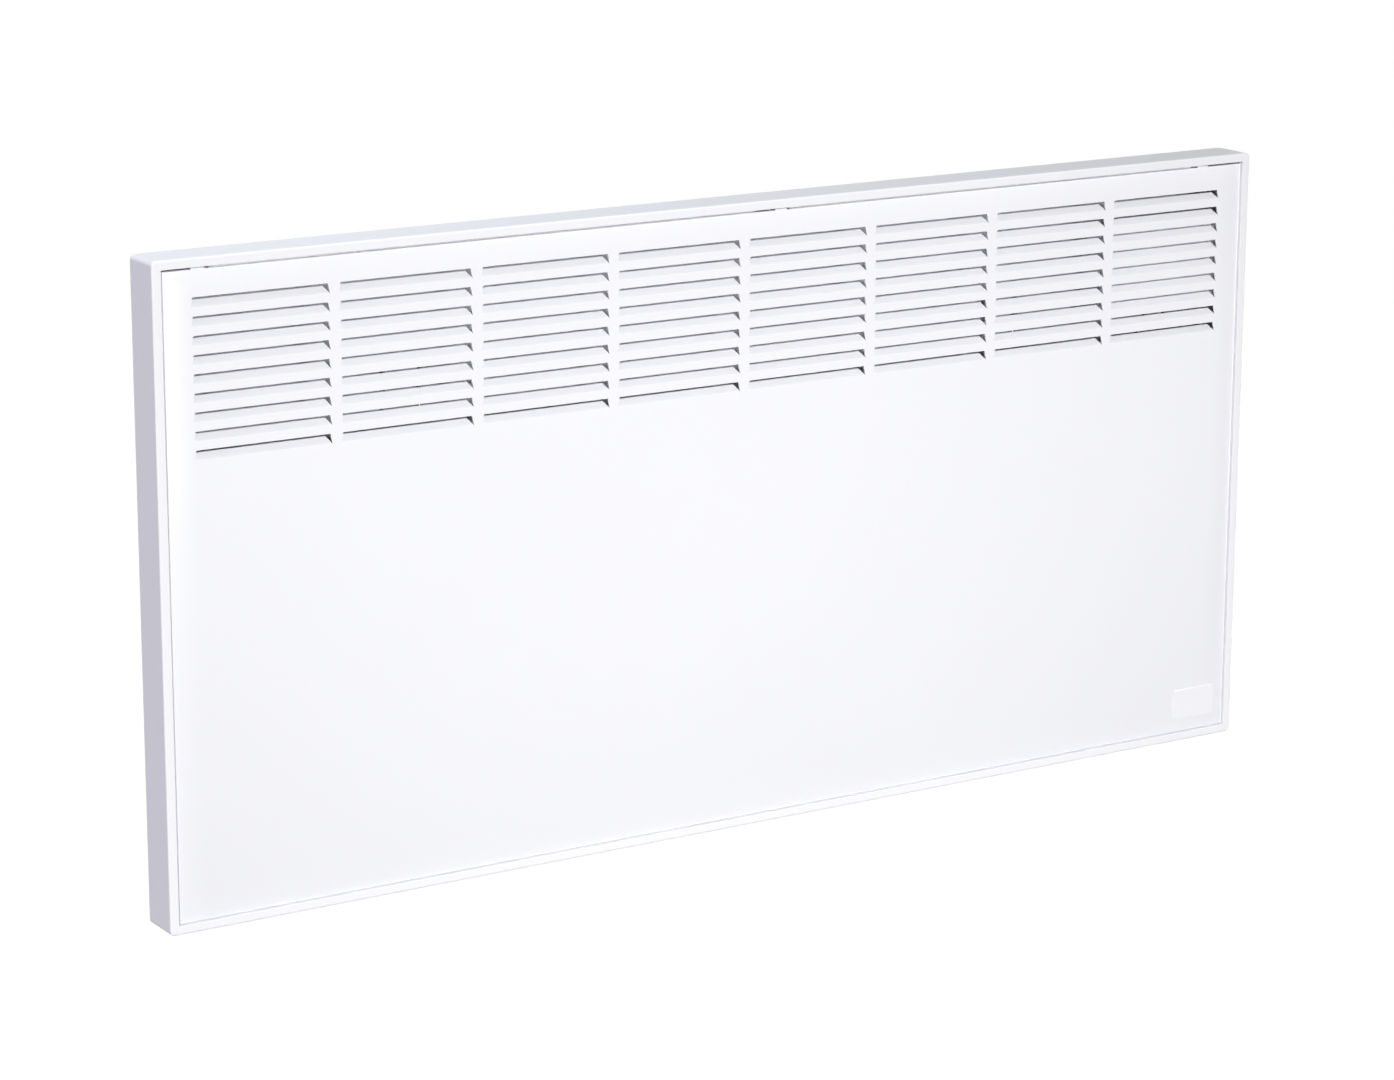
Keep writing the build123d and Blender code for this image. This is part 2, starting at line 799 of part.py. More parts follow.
with BuildPart() as air_deflector:
    with BuildSketch(Plane.YZ.offset(-deflector_length / 2)):
        with BuildLine():
            Polyline(
                (-cover_inner, deflector_top - deflector_foot),
                (-cover_inner, deflector_top),
                (-cover_inner - deflector_sheet, deflector_top),
                (-deflector_end, deflector_top + deflector_rise),
                (-deflector_end, deflector_top + deflector_rise - deflector_sheet),
                (-cover_inner - deflector_sheet, deflector_top - deflector_sheet),
                (-cover_inner - deflector_sheet, deflector_top - deflector_foot),
                close=True,
            )
        make_face()
    extrude(amount=deflector_length)
air_deflector.part.label = "air_deflector"
export_step(air_deflector.part, "parts/air_deflector.step")

# ---------------------------------------------------------------- overheat cut-out
cutout_x = right - cutout_right_inset
cutout_z = element_heights[1] + fin_height / 2 + cutout_above_fins
clip_back = shield_front + shield_sheet
cutout_back = clip_back + clip_sheet
tag_out = cutout_back + cutout_height - 2 * tag_thickness
tag_x = (cutout_x - tag_width, cutout_x + tag_width)
tag_tip = cutout_z + cutout_diameter / 2 + tag_length

with BuildPart() as cutout_clip:
    with BuildSketch(facing_front(clip_back)):
        with Locations((cutout_x, cutout_z)):
            SlotOverall(clip_width, clip_height)
    extrude(amount=clip_sheet)
cutout_clip.part.label = "cutout_clip"
export_step(cutout_clip.part, "parts/cutout_clip.step")

with BuildPart() as overheat_cutout:
    with BuildSketch(facing_front(cutout_back)):
        with Locations((cutout_x, cutout_z)):
            Circle(cutout_diameter / 2)
    extrude(amount=cutout_height)
    with BuildSketch(facing_front(tag_out)):
        for x in tag_x:
            with Locations((x, (cutout_z + tag_tip) / 2)):
                Rectangle(tag_width, tag_tip - cutout_z)
    extrude(amount=tag_thickness)
overheat_cutout.part.label = "overheat_cutout"
export_step(overheat_cutout.part, "parts/overheat_cutout.step")

# ---------------------------------------------------------------- control pocket
with BuildPart() as control_bezel:
    pocket_outer_width = pocket_width + 2 * pocket_wall
    pocket_outer_height = pocket_height + 2 * pocket_wall
    with BuildSketch(Plane.YZ.offset(floor_inner)):
        with Locations((-pocket_middle, pocket_z)):
            RectangleRounded(pocket_outer_width, pocket_outer_height, pocket_corner)
    extrude(amount=right - floor_inner)
    with BuildSketch(Plane.YZ.offset(right)):
        with Locations((-pocket_middle, pocket_z)):
            RectangleRounded(
                pocket_outer_width + 2 * bezel_flange,
                pocket_outer_height + 2 * bezel_flange,
                pocket_corner + bezel_flange,
            )
    extrude(amount=bezel_proud)
    chamfer(control_bezel.faces().sort_by(Axis.X)[-1].edges(), length=bezel_proud / 2)
    with BuildSketch(Plane.YZ.offset(floor_outer)):
        with Locations((-pocket_middle, pocket_z)):
            RectangleRounded(pocket_width, pocket_height, pocket_corner - pocket_wall)
    extrude(amount=pocket_depth + bezel_proud, mode=Mode.SUBTRACT)
    with BuildSketch(Plane.YZ.offset(floor_inner)):
        with Locations((-pocket_middle, knob_z)):
            Circle(neck_diameter / 2)
        with Locations((-pocket_middle, rocker_z)):
            Rectangle(switch_width + 2 * switch_hole_play, switch_height + 2 * switch_hole_play)
        with Locations((-pocket_middle, lamp_z)):
            Circle(lamp_diameter / 2)
    extrude(amount=pocket_wall, mode=Mode.SUBTRACT)
control_bezel.part.label = "control_bezel"
export_step(control_bezel.part, "parts/control_bezel.step")

# ---------------------------------------------------------------- thermostat
thermostat_back = floor_inner - thermostat_length

with BuildPart() as thermostat_body:
    with BuildSketch(Plane.YZ.offset(thermostat_back)):
        with Locations((-pocket_middle, knob_z)):
            RectangleRounded(thermostat_depth, thermostat_height, thermostat_corner)
    extrude(amount=thermostat_length)
    with BuildSketch(Plane.YZ.offset(floor_inner)):
        with Locations((-pocket_middle, knob_z)):
            Circle(neck_diameter / 2)
    extrude(amount=pocket_wall + neck_proud)
    with BuildSketch(Plane.YZ.offset(floor_inner - shaft_in_body - 1)):
        with Locations((-pocket_middle, knob_z)):
            Circle(shaft_diameter / 2 + shaft_play)
    extrude(amount=shaft_in_body + 1 + pocket_wall + neck_proud, mode=Mode.SUBTRACT)
    for z_step in (-1, 1):
        with BuildSketch(Plane.YZ.offset(thermostat_back)):
            with Locations((-pocket_middle, knob_z + z_step * thermostat_height / 4)):
                Rectangle(tag_width, tag_thickness)
        extrude(amount=-tag_length)
thermostat_body.part.label = "thermostat_body"
export_step(thermostat_body.part, "parts/thermostat_body.step")

with BuildPart() as thermostat_nut:
    with BuildSketch(Plane.YZ.offset(floor_outer)):
        with Locations((-pocket_middle, knob_z)):
            RegularPolygon(nut_across_flats / 2, 6, major_radius=False)
            Circle(neck_diameter / 2, mode=Mode.SUBTRACT)
    extrude(amount=nut_thickness)
thermostat_nut.part.label = "thermostat_nut"
export_step(thermostat_nut.part, "parts/thermostat_nut.step")

shaft_start = floor_inner - shaft_in_body
shaft_end = knob_back + knob_cavity_depth + shaft_in_knob

with BuildPart() as thermostat_shaft:
    with BuildSketch(Plane.YZ.offset(shaft_start)):
        with Locations((-pocket_middle, knob_z)):
            Circle(shaft_diameter / 2)
    extrude(amount=shaft_end - shaft_start)
    with BuildSketch(Plane.YZ.offset(knob_back + knob_cavity_depth)):
        with Locations((-pocket_middle, knob_z + shaft_diameter / 2)):
            Rectangle(shaft_diameter, 2 * shaft_flat)
    extrude(amount=shaft_in_knob, mode=Mode.SUBTRACT)
thermostat_shaft.part.label = "thermostat_shaft"
export_step(thermostat_shaft.part, "parts/thermostat_shaft.step")

with BuildPart() as thermostat_knob:
    with BuildSketch(Plane.YZ.offset(knob_back)):
        with Locations((-pocket_middle, knob_z)):
            Circle(knob_diameter / 2)
            with PolarLocations(knob_diameter / 2, knob_flutes):
                Circle(flute_radius, mode=Mode.SUBTRACT)
    extrude(amount=knob_front - knob_back)
    with BuildSketch(Plane.YZ.offset(knob_back)):
        with Locations((-pocket_middle, knob_z)):
            Circle(knob_cavity / 2)
    extrude(amount=knob_cavity_depth, mode=Mode.SUBTRACT)
    with BuildSketch(Plane.YZ.offset(knob_back)):
        with Locations((-pocket_middle, knob_z)):
            Circle(shaft_diameter / 2)
        with Locations((-pocket_middle, knob_z + shaft_diameter / 2)):
            Rectangle(shaft_diameter, 2 * shaft_flat, mode=Mode.SUBTRACT)
    extrude(amount=knob_cavity_depth + shaft_in_knob, mode=Mode.SUBTRACT)
    # Pointer groove on the face.
    with BuildSketch(Plane.YZ.offset(knob_front)):
        with Locations((-pocket_middle, knob_z + knob_diameter / 4)):
            Rectangle(pointer_width, knob_diameter / 2 - 2 * pointer_width)
    extrude(amount=-pointer_width / 2, mode=Mode.SUBTRACT)
thermostat_knob.part.label = "thermostat_knob"
export_step(thermostat_knob.part, "parts/thermostat_knob.step")

# ---------------------------------------------------------------- rocker switch and lamp
switch_back = floor_outer - switch_length

with BuildPart() as switch_body:
    with BuildSketch(Plane.YZ.offset(switch_back)):
        with Locations((-pocket_middle, rocker_z)):
            Rectangle(switch_width, switch_height)
    extrude(amount=switch_length)
    with BuildSketch(Plane.YZ.offset(floor_outer)):
        with Locations((-pocket_middle, rocker_z)):
            RectangleRounded(
                switch_width + 2 * switch_flange,
                switch_height + 2 * switch_flange,
                switch_flange,
            )
    extrude(amount=switch_flange_thickness)
    with BuildSketch(Plane.YZ.offset(floor_outer - switch_cavity)):
        with Locations((-pocket_middle, rocker_z)):
            Rectangle(switch_width - 2 * switch_wall, switch_height - 2 * switch_wall)
    extrude(amount=switch_cavity + switch_flange_thickness, mode=Mode.SUBTRACT)
    with BuildSketch(facing_front(pocket_middle - switch_width / 2)):
        with Locations((rocker_pivot_x, rocker_z)):
            Circle(rocker_pin / 2 + rocker_pin_play)
    extrude(amount=switch_width, mode=Mode.SUBTRACT)
    for z_step in (-1, 1):
        with BuildSketch(Plane.YZ.offset(switch_back)):
            with Locations((-pocket_middle, rocker_z + z_step * switch_height / 4)):
                Rectangle(tag_width, tag_thickness)
        extrude(amount=-tag_length)
switch_body.part.label = "switch_body"
export_step(switch_body.part, "parts/switch_body.step")

# The rocker is drawn tilted to its off side, turned about its pivot pin.
rocker_half = switch_height / 2 - switch_wall - rocker_end_play
rocker_width = switch_width - 2 * switch_wall - 2 * rocker_play
rocker_plane = Plane(
    origin=at(rocker_pivot_x, pocket_middle - rocker_width / 2, rocker_z),
    x_dir=(cos(radians(rocker_tilt)), 0, sin(radians(rocker_tilt))),
    z_dir=(0, -1, 0),
)
pin_plane = rocker_plane.offset(-(switch_width - rocker_width) / 2)

with BuildPart() as switch_rocker:
    with BuildSketch(rocker_plane):
        with BuildLine():
            Polyline(
                (-rocker_belly, -rocker_half),
                (rocker_height, -rocker_half),
                (rocker_height - rocker_dip, 0),
                (rocker_height, rocker_half),
                (-rocker_belly, rocker_half),
                close=True,
            )
        make_face()
    extrude(amount=rocker_width)
    fillet(switch_rocker.edges().filter_by(Axis.Y), radius=rocker_edge_radius)
    with BuildSketch(pin_plane):
        Circle(rocker_pin / 2)
    extrude(amount=switch_width)
switch_rocker.part.label = "switch_rocker"
export_step(switch_rocker.part, "parts/switch_rocker.step")

with BuildPart() as indicator_lamp:
    with BuildSketch(Plane.YZ.offset(floor_inner)):
        with Locations((-pocket_middle, lamp_z)):
            Circle(lamp_diameter / 2)
    extrude(amount=pocket_wall + lamp_proud)
    fillet(indicator_lamp.faces().sort_by(Axis.X)[-1].edges(), radius=lamp_dome)
    with BuildSketch(Plane.YZ.offset(floor_inner)):
        with Locations((-pocket_middle, lamp_z)):
            Circle(lamp_flange / 2)
    extrude(amount=-lamp_flange_thickness)
    with BuildSketch(Plane.YZ.offset(floor_inner)):
        with Locations((-pocket_middle, lamp_z)):
            Circle(lamp_diameter / 2)
    extrude(amount=-lamp_length)
indicator_lamp.part.label = "indicator_lamp"
export_step(indicator_lamp.part, "parts/indicator_lamp.step")

# ---------------------------------------------------------------- control housing
housing_depth = housing_front - pocket_inner_edge
housing_mid_x = housing_left + housing_length / 2
housing_low = pocket_z - housing_height / 2
notch_x = (heating_x + live_x) / 2
lead_notch = lead_spacing + 2 * lead_notch_margin
capillary_x = thermostat_back - capillary_reach
capillary_out = pocket_middle + thermostat_depth / 2 - capillary_inset

with BuildPart() as control_housing:
    with BuildSketch(facing_front(pocket_inner_edge)):
        with Locations((housing_mid_x, pocket_z)):
            Rectangle(housing_length, housing_height)
    extrude(amount=housing_depth)
    with BuildSketch(facing_front(pocket_inner_edge)):
        with Locations((housing_mid_x + housing_wall, pocket_z)):
            Rectangle(housing_length, housing_height - 2 * housing_wall)
    extrude(amount=housing_depth - housing_wall, mode=Mode.SUBTRACT)
    with BuildSketch(facing_front(pocket_inner_edge)):
        with Locations((notch_x, housing_low + housing_wall / 2)):
            Rectangle(lead_notch, housing_wall)
    extrude(amount=lead_notch_depth, mode=Mode.SUBTRACT)
    with BuildSketch(Plane.XY.offset(housing_low)):
        with Locations((capillary_x, -capillary_out)):
            Circle(capillary_diameter / 2 + clip_lead_play)
    extrude(amount=housing_wall, mode=Mode.SUBTRACT)
control_housing.part.label = "control_housing"
export_step(control_housing.part, "parts/control_housing.step")

with BuildPart() as housing_cover:
    cover_length = housing_length - housing_cover_setback
    with BuildSketch(facing_front(pocket_inner_edge - housing_cover_sheet)):
        with Locations((housing_left + cover_length / 2, pocket_z)):
            Rectangle(cover_length, housing_height)
        with Locations((notch_x, housing_low)):
            Rectangle(lead_notch, 2 * cover_notch, mode=Mode.SUBTRACT)
    extrude(amount=housing_cover_sheet)
    with BuildSketch(facing_front(cover_inner)):
        with Locations(*pillars):
            Circle(pillar_diameter / 2)
    extrude(amount=pocket_inner_edge - cover_inner)
    with BuildSketch(facing_front(cover_inner)):
        with Locations(*pillars):
            Circle(pillar_screw / 2)
    extrude(amount=pillar_hole_depth, mode=Mode.SUBTRACT)
housing_cover.part.label = "housing_cover"
export_step(housing_cover.part, "parts/housing_cover.step")

housing_screws = cross_recess_screws(
    pillars, cover_back, pillar_screw, screw_head, screw_head_height, screw_grip
)
housing_screws.part.label = "housing_screws"
export_step(housing_screws.part, "parts/housing_screws.step")

# ---------------------------------------------------------------- mains inlet
with BuildPart() as cord_gland:
    for diameter, start, length in (
        (gland_flange, bottom, -gland_flange_thickness),
        (gland_neck, bottom, frame_sheet),
        (gland_flange, bottom + frame_sheet, gland_nut_thickness),
    ):
        with BuildSketch(Plane.XY.offset(start)):
            with Locations((gland_x, -interior_middle)):
                Circle(diameter / 2)
        extrude(amount=length)
    gland_height = gland_flange_thickness + frame_sheet + gland_nut_thickness
    with BuildSketch(Plane.XY.offset(bottom - gland_flange_thickness)):
        with Locations((gland_x, -interior_middle)):
            Circle(gland_bore / 2)
    extrude(amount=gland_height, mode=Mode.SUBTRACT)
    chamfer(
        cord_gland.faces().sort_by(Axis.Z)[0].outer_wire().edges(),
        length=gland_flange_thickness / 3,
    )
cord_gland.part.label = "cord_gland"
export_step(cord_gland.part, "parts/cord_gland.step")

with BuildPart() as terminal_block:
    with BuildSketch(facing_front(cover_inner)):
        with Locations((block_x, block_top - block_height / 2)):
            Rectangle(block_length, block_height)
    extrude(amount=block_depth)
    with BuildSketch(Plane.XY.offset(block_top)):
        with Locations(*[(x, -lead_out) for x in ways]):
            Circle(way_hole / 2)
    extrude(amount=-way_depth, mode=Mode.SUBTRACT)
    with BuildSketch(Plane.XY.offset(block_top - block_height)):
        with Locations(*[(x, -lead_out) for x in ways]):
            Circle(way_hole / 2)
    extrude(amount=way_depth, mode=Mode.SUBTRACT)
    with BuildSketch(facing_front(cover_inner + block_depth)):
        with Locations(*[(x, block_top - block_height / 2) for x in ways]):
            Circle(way_hole / 2)
    extrude(amount=-block_screw_depth, mode=Mode.SUBTRACT)
terminal_block.part.label = "terminal_block"
export_step(terminal_block.part, "parts/terminal_block.step")

earth_x = block_x + earth_shift
earth_z = block_top + earth_rise

with BuildPart() as earth_stud:
    with BuildSketch(facing_front(cover_inner)):
        with Locations((earth_x, earth_z)):
            Circle(earth_stud_diameter / 2)
    extrude(amount=earth_stud_length)
earth_stud.part.label = "earth_stud"
export_step(earth_stud.part, "parts/earth_stud.step")

with BuildPart() as earth_nut:
    with BuildSketch(facing_front(cover_inner + earth_washer)):
        with Locations((earth_x, earth_z)):
            RegularPolygon(earth_nut_across_flats / 2, 6, major_radius=False)
            Circle(earth_stud_diameter / 2, mode=Mode.SUBTRACT)
    extrude(amount=earth_nut_thickness)
earth_nut.part.label = "earth_nut"
export_step(earth_nut.part, "parts/earth_nut.step")

# ---------------------------------------------------------------- sensor and capillary
bulb_z = bulb_top - bulb_length

with BuildPart() as sensor_bulb:
    with BuildSketch(Plane.XY.offset(bulb_z)):
        with Locations((bulb_x, -interior_middle)):
            Circle(bulb_diameter / 2)
    extrude(amount=bulb_length)
    fillet(sensor_bulb.faces().sort_by(Axis.Z)[0].edges(), radius=bulb_diameter / 3)
sensor_bulb.part.label = "sensor_bulb"
export_step(sensor_bulb.part, "parts/sensor_bulb.step")

with BuildPart() as bulb_clip:
    clip_z = bulb_z + bulb_length / 2
    with BuildSketch(Plane.XY.offset(clip_z - bulb_clip_height / 2)):
        with Locations((bulb_x, -interior_middle)):
            Circle(bulb_diameter / 2 + bulb_clip_wall)
        with Locations(((bulb_x + side_wall_inner) / 2, -interior_middle)):
            Rectangle(side_wall_inner - bulb_x, bulb_clip_wall)
        with Locations((side_wall_inner - bulb_clip_wall / 2, -interior_middle)):
            Rectangle(bulb_clip_wall, bulb_clip_foot)
        with Locations((bulb_x, -interior_middle)):
            Circle(bulb_diameter / 2, mode=Mode.SUBTRACT)
    extrude(amount=bulb_clip_height)
bulb_clip.part.label = "bulb_clip"
export_step(bulb_clip.part, "parts/bulb_clip.step")

# ---------------------------------------------------------------- leads and capillary
tag_end = thermostat_back - tag_length
switch_tag_end = switch_back - tag_length
notch_out = pocket_inner_edge + lead_notch_depth / 2
loop_x = heating_x + lead_loop_reach
bridge_x = element_length / 2 + bush_length + pin_length


def lead(route, bends, diameter):
    """A round lead along straight runs joined by arcs."""
    with BuildPart() as wire:
        with BuildLine() as path:
            FilletPolyline(*[at(*point) for point in route], radius=bends)
        with BuildSketch(Plane(origin=path.line @ 0, z_dir=path.line % 0)):
            Circle(diameter / 2)
        sweep(path=path.line)
    return wire


def bends_for(route):
    """A radius for each corner: the lead's usual bend, or less where a run is short."""
    points = [Vector(*point) for point in route]
    radii = []
    for before, corner, after in zip(points, points[1:], points[2:]):
        shorter = min((corner - before).length, (after - corner).length)
        half_turn = radians((corner - before).get_angle(after - corner)) / 2
        radii.append(min(lead_bend, 0.45 * shorter / tan(half_turn)))
    return radii


tag_heights = (knob_z - thermostat_height / 4, knob_z + thermostat_height / 4)
switch_tags = (rocker_z - switch_height / 4, rocker_z + switch_height / 4)
entry_low = housing_low - lead_entry_drop
entry_high = housing_low - lead_entry_gap
over_tags = tag_tip + cutout_lead_over
lead_front = lead_out + element_lead_front
routes = {
    "live_lead": [
        (live_x, lead_out, block_top - way_depth),
        (live_x, lead_out, entry_low),
        (live_x - lead_entry_shift, notch_out, entry_high),
        (loop_x, pocket_middle, switch_tags[0]),
        (switch_tag_end, pocket_middle, switch_tags[0]),
    ],
    "switch_lead": [
        (switch_tag_end, pocket_middle, switch_tags[1]),
        (loop_x - lead_loop_step, pocket_middle, switch_tags[1]),
        (loop_x - lead_loop_step, pocket_middle, tag_heights[0]),
        (tag_end, pocket_middle, tag_heights[0]),
    ],
    "heating_lead": [
        (tag_end, pocket_middle, tag_heights[1]),
        (heating_x, pocket_middle, tag_heights[1]),
        (heating_x, notch_out, entry_high),
        (heating_x, lead_out, entry_low),
        (heating_x, lead_out, over_tags + 2 * cutout_lead_fall),
        (heating_x - cutout_lead_slope, lead_out, over_tags + cutout_lead_fall),
        (tag_x[1] + cutout_lead_fall, lead_front, over_tags + cutout_lead_fall - lead_diameter),
        (tag_x[0], tag_out, over_tags),
        (tag_x[0], tag_out, tag_tip),
    ],
    "cutout_lead": [
        (tag_x[1], tag_out, tag_tip),
        (tag_x[1], tag_out, tag_tip + element_lead_rise),
        (tag_x[1] + cutout_lead_side, lead_front, tag_tip + element_lead_rise + lead_diameter),
        (bridge_x - element_lead_loop, lead_front, tag_tip + element_lead_rise + lead_diameter),
        (bridge_x + element_lead_loop, interior_middle, tag_tip - element_lead_drop),
        (bridge_x + element_lead_loop, interior_middle, element_heights[1]),
        (bridge_x, interior_middle, element_heights[1]),
    ],
    "neutral_lead": [
        (bridge_x, interior_middle, element_heights[0]),
        (ways[2], interior_middle, element_heights[0]),
        (ways[2], lead_out, block_top + block_lead_rise),
        (ways[2], lead_out, block_top - way_depth),
    ],
    "link_lead": [
        (-bridge_x, interior_middle, element_heights[0]),
        (-bridge_x - link_lead_loop, interior_middle, element_heights[0]),
        (-bridge_x - link_lead_loop, interior_middle, element_heights[1]),
        (-bridge_x, interior_middle, element_heights[1]),
    ],
    "earth_lead": [
        (ways[0], lead_out, block_top - way_depth),
        (ways[0], lead_out, block_top + earth_rise / 2),
        (earth_x, cover_inner + earth_washer, earth_z - earth_nut_across_flats),
    ],
}

for lead_name, route in routes.items():
    lead_wire = lead(route, bends_for(route), lead_diameter)
    lead_wire.part.label = lead_name
    export_step(lead_wire.part, f"parts/{lead_name}.step")

capillary_route = [
    (thermostat_back, capillary_out, knob_z),
    (capillary_x, capillary_out, knob_z),
    (capillary_x, capillary_out, housing_low - capillary_straight),
    (bulb_x, interior_middle, housing_low - capillary_straight - capillary_slope),
    (bulb_x, interior_middle, bulb_top),
]
capillary_tube = lead(capillary_route, bends_for(capillary_route), capillary_diameter)
capillary_tube.part.label = "capillary_tube"
export_step(capillary_tube.part, "parts/capillary_tube.step")

clip_places = (
    (housing_low - lead_clip_drop, (heating_x, live_x)),
    (housing_low - lead_clip_drop - lead_clip_pitch, (heating_x, live_x)),
    (block_top + lead_clip_rise, (live_x, live_x)),
)
clip_block_front = lead_out + clip_block_cover
clip_block_middle = (cover_inner + clip_block_front) / 2

with BuildPart() as lead_clips:
    for clip_block_z, (first_x, last_x) in clip_places:
        with BuildSketch(Plane.XY.offset(clip_block_z - clip_block_height / 2)):
            with Locations(((first_x + last_x) / 2, -clip_block_middle)):
                Rectangle(last_x - first_x + 2 * clip_block_margin, clip_block_front - cover_inner)
            for lead_x in {first_x, last_x}:
                with Locations((lead_x, -lead_out)):
                    Circle(lead_diameter / 2 + clip_lead_play, mode=Mode.SUBTRACT)
        extrude(amount=clip_block_height)
lead_clips.part.label = "lead_clips"
export_step(lead_clips.part, "parts/lead_clips.step")
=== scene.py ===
"""Looks of a slim wall panel convector heater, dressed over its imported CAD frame.

X runs to the right as seen from the front, Z up, and the wall is the plane Y = 0 with the heater on
its -Y side. "Out" is a distance from the wall. Lengths are in metres.
"""

import json
from math import cos, pi, radians, sin

import bmesh
import bpy
from mathutils import Matrix, Vector


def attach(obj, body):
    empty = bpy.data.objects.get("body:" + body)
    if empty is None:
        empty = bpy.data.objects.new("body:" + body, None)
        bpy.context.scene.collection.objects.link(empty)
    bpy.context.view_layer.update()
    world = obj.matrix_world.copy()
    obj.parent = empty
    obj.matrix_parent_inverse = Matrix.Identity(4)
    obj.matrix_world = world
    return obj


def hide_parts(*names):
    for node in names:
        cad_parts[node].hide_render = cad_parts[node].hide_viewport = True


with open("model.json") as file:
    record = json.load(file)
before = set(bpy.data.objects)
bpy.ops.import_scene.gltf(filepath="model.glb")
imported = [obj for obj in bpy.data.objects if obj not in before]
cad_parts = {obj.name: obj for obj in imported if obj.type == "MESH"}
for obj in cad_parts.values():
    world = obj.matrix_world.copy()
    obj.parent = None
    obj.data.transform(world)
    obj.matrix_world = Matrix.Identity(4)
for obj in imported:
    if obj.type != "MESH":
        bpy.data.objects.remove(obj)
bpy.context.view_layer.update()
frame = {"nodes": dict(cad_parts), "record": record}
scene = bpy.context.scene
MM = 0.001

# ---------------------------------------------------------------- sizes shared by the pieces
PANEL_WIDTH = 884 * MM
PANEL_HEIGHT = 434 * MM
PANEL_OUT = 60 * MM
PANEL_SHEET = 0.8 * MM
LOUVRE_COLUMNS = 8
LOUVRE_ROWS = 9
SLOT_LENGTH = 100 * MM
SLOT_HEIGHT = 7 * MM
SLOT_BRIDGE = 6.5 * MM
LOUVRE_WEB = 5.5 * MM
SLOT_TOP = 199 * MM
FLAP_ANGLE = radians(49)

POCKET_OUT = 43.5 * MM
POCKET_FLOOR = 438 * MM
BEZEL_FACE = 450.8 * MM
KNOB_Z = 162 * MM
KNOB_RADIUS = 9 * MM
KNOB_BACK = 439 * MM
KNOB_FACE = 453 * MM
ROCKER_PIVOT_X = 437 * MM
ROCKER_Z = 129 * MM
ROCKER_TILT = radians(8)
LAMP_Z = 144 * MM

# ---------------------------------------------------------------- shared by meshes and finishes
SHARP_ANGLE = radians(35)
WELD_DISTANCE = 0.001 * MM
TEXT_WELD_DISTANCE = 0.0001 * MM
PRINT_HALF_THICKNESS = 0.04 * MM
PRINT_CURVE_STEPS = 4
ROUNDING_STEPS = 2
EDGE_RAYS = 4
EDGE_GAIN = 6.0
NOISE_LOW, NOISE_HIGH = 0.3, 0.7
STRIPES_PER_METRE = 900.0
UNTURNED = (0, 0, 0)


def place(x, out, z):
    """A point of the heater, given its distance out from the wall."""
    return Vector((x, -out, z))


# ---------------------------------------------------------------- node trees written as sums
class Sum:
    """An output socket that can be added, multiplied and compared like a number."""

    def __init__(self, tree, socket):
        self.tree = tree
        self.socket = socket

    def __add__(self, other):
        return self.tree.math("ADD", self, other)

    def __sub__(self, other):
        return self.tree.math("SUBTRACT", self, other)

    def __rsub__(self, other):
        return self.tree.math("SUBTRACT", other, self)

    def __mul__(self, other):
        return self.tree.math("MULTIPLY", self, other)

    def __truediv__(self, other):
        return self.tree.math("DIVIDE", self, other)

    def __mod__(self, other):
        return self.tree.math("FLOORED_MODULO", self, other)

    def __gt__(self, other):
        return self.tree.math("GREATER_THAN", self, other)

    def __lt__(self, other):
        return self.tree.math("LESS_THAN", self, other)

    __radd__ = __add__
    __rmul__ = __mul__


class Tree:
    """Adds nodes to a node group, fed with numbers, sums or sockets."""

    def __init__(self, group):
        self.group = group

    def add(self, kind, inputs=None, **settings):
        node = self.group.nodes.new(kind)
        for name, value in settings.items():
            setattr(node, name, value)
        for name, value in (inputs or {}).items():
            self.feed(node.inputs[name], value)
        return node

    def feed(self, socket, value):
        if isinstance(value, Sum):
            value = value.socket
        if isinstance(value, bpy.types.NodeSocket):
            self.group.links.new(value, socket)
        else:
            socket.default_value = value

    def math(self, operation, *values):
        node = self.add("ShaderNodeMath", operation=operation)
        for socket, value in zip(node.inputs, values):
            self.feed(socket, value)
        return Sum(self, node.outputs[0])

    def floor(self, value):
        return self.math("FLOOR", value)

    def least(self, first, second):
        return self.math("MINIMUM", first, second)

    def most(self, first, second):
        return self.math("MAXIMUM", first, second)

    def parts_of(self, vector):
        split = self.add("ShaderNodeSeparateXYZ", {"Vector": vector})
        return [Sum(self, split.outputs[axis]) for axis in "XYZ"]

    def vector(self, x, y, z):
        return self.add("ShaderNodeCombineXYZ", {"X": x, "Y": y, "Z": z}).outputs["Vector"]


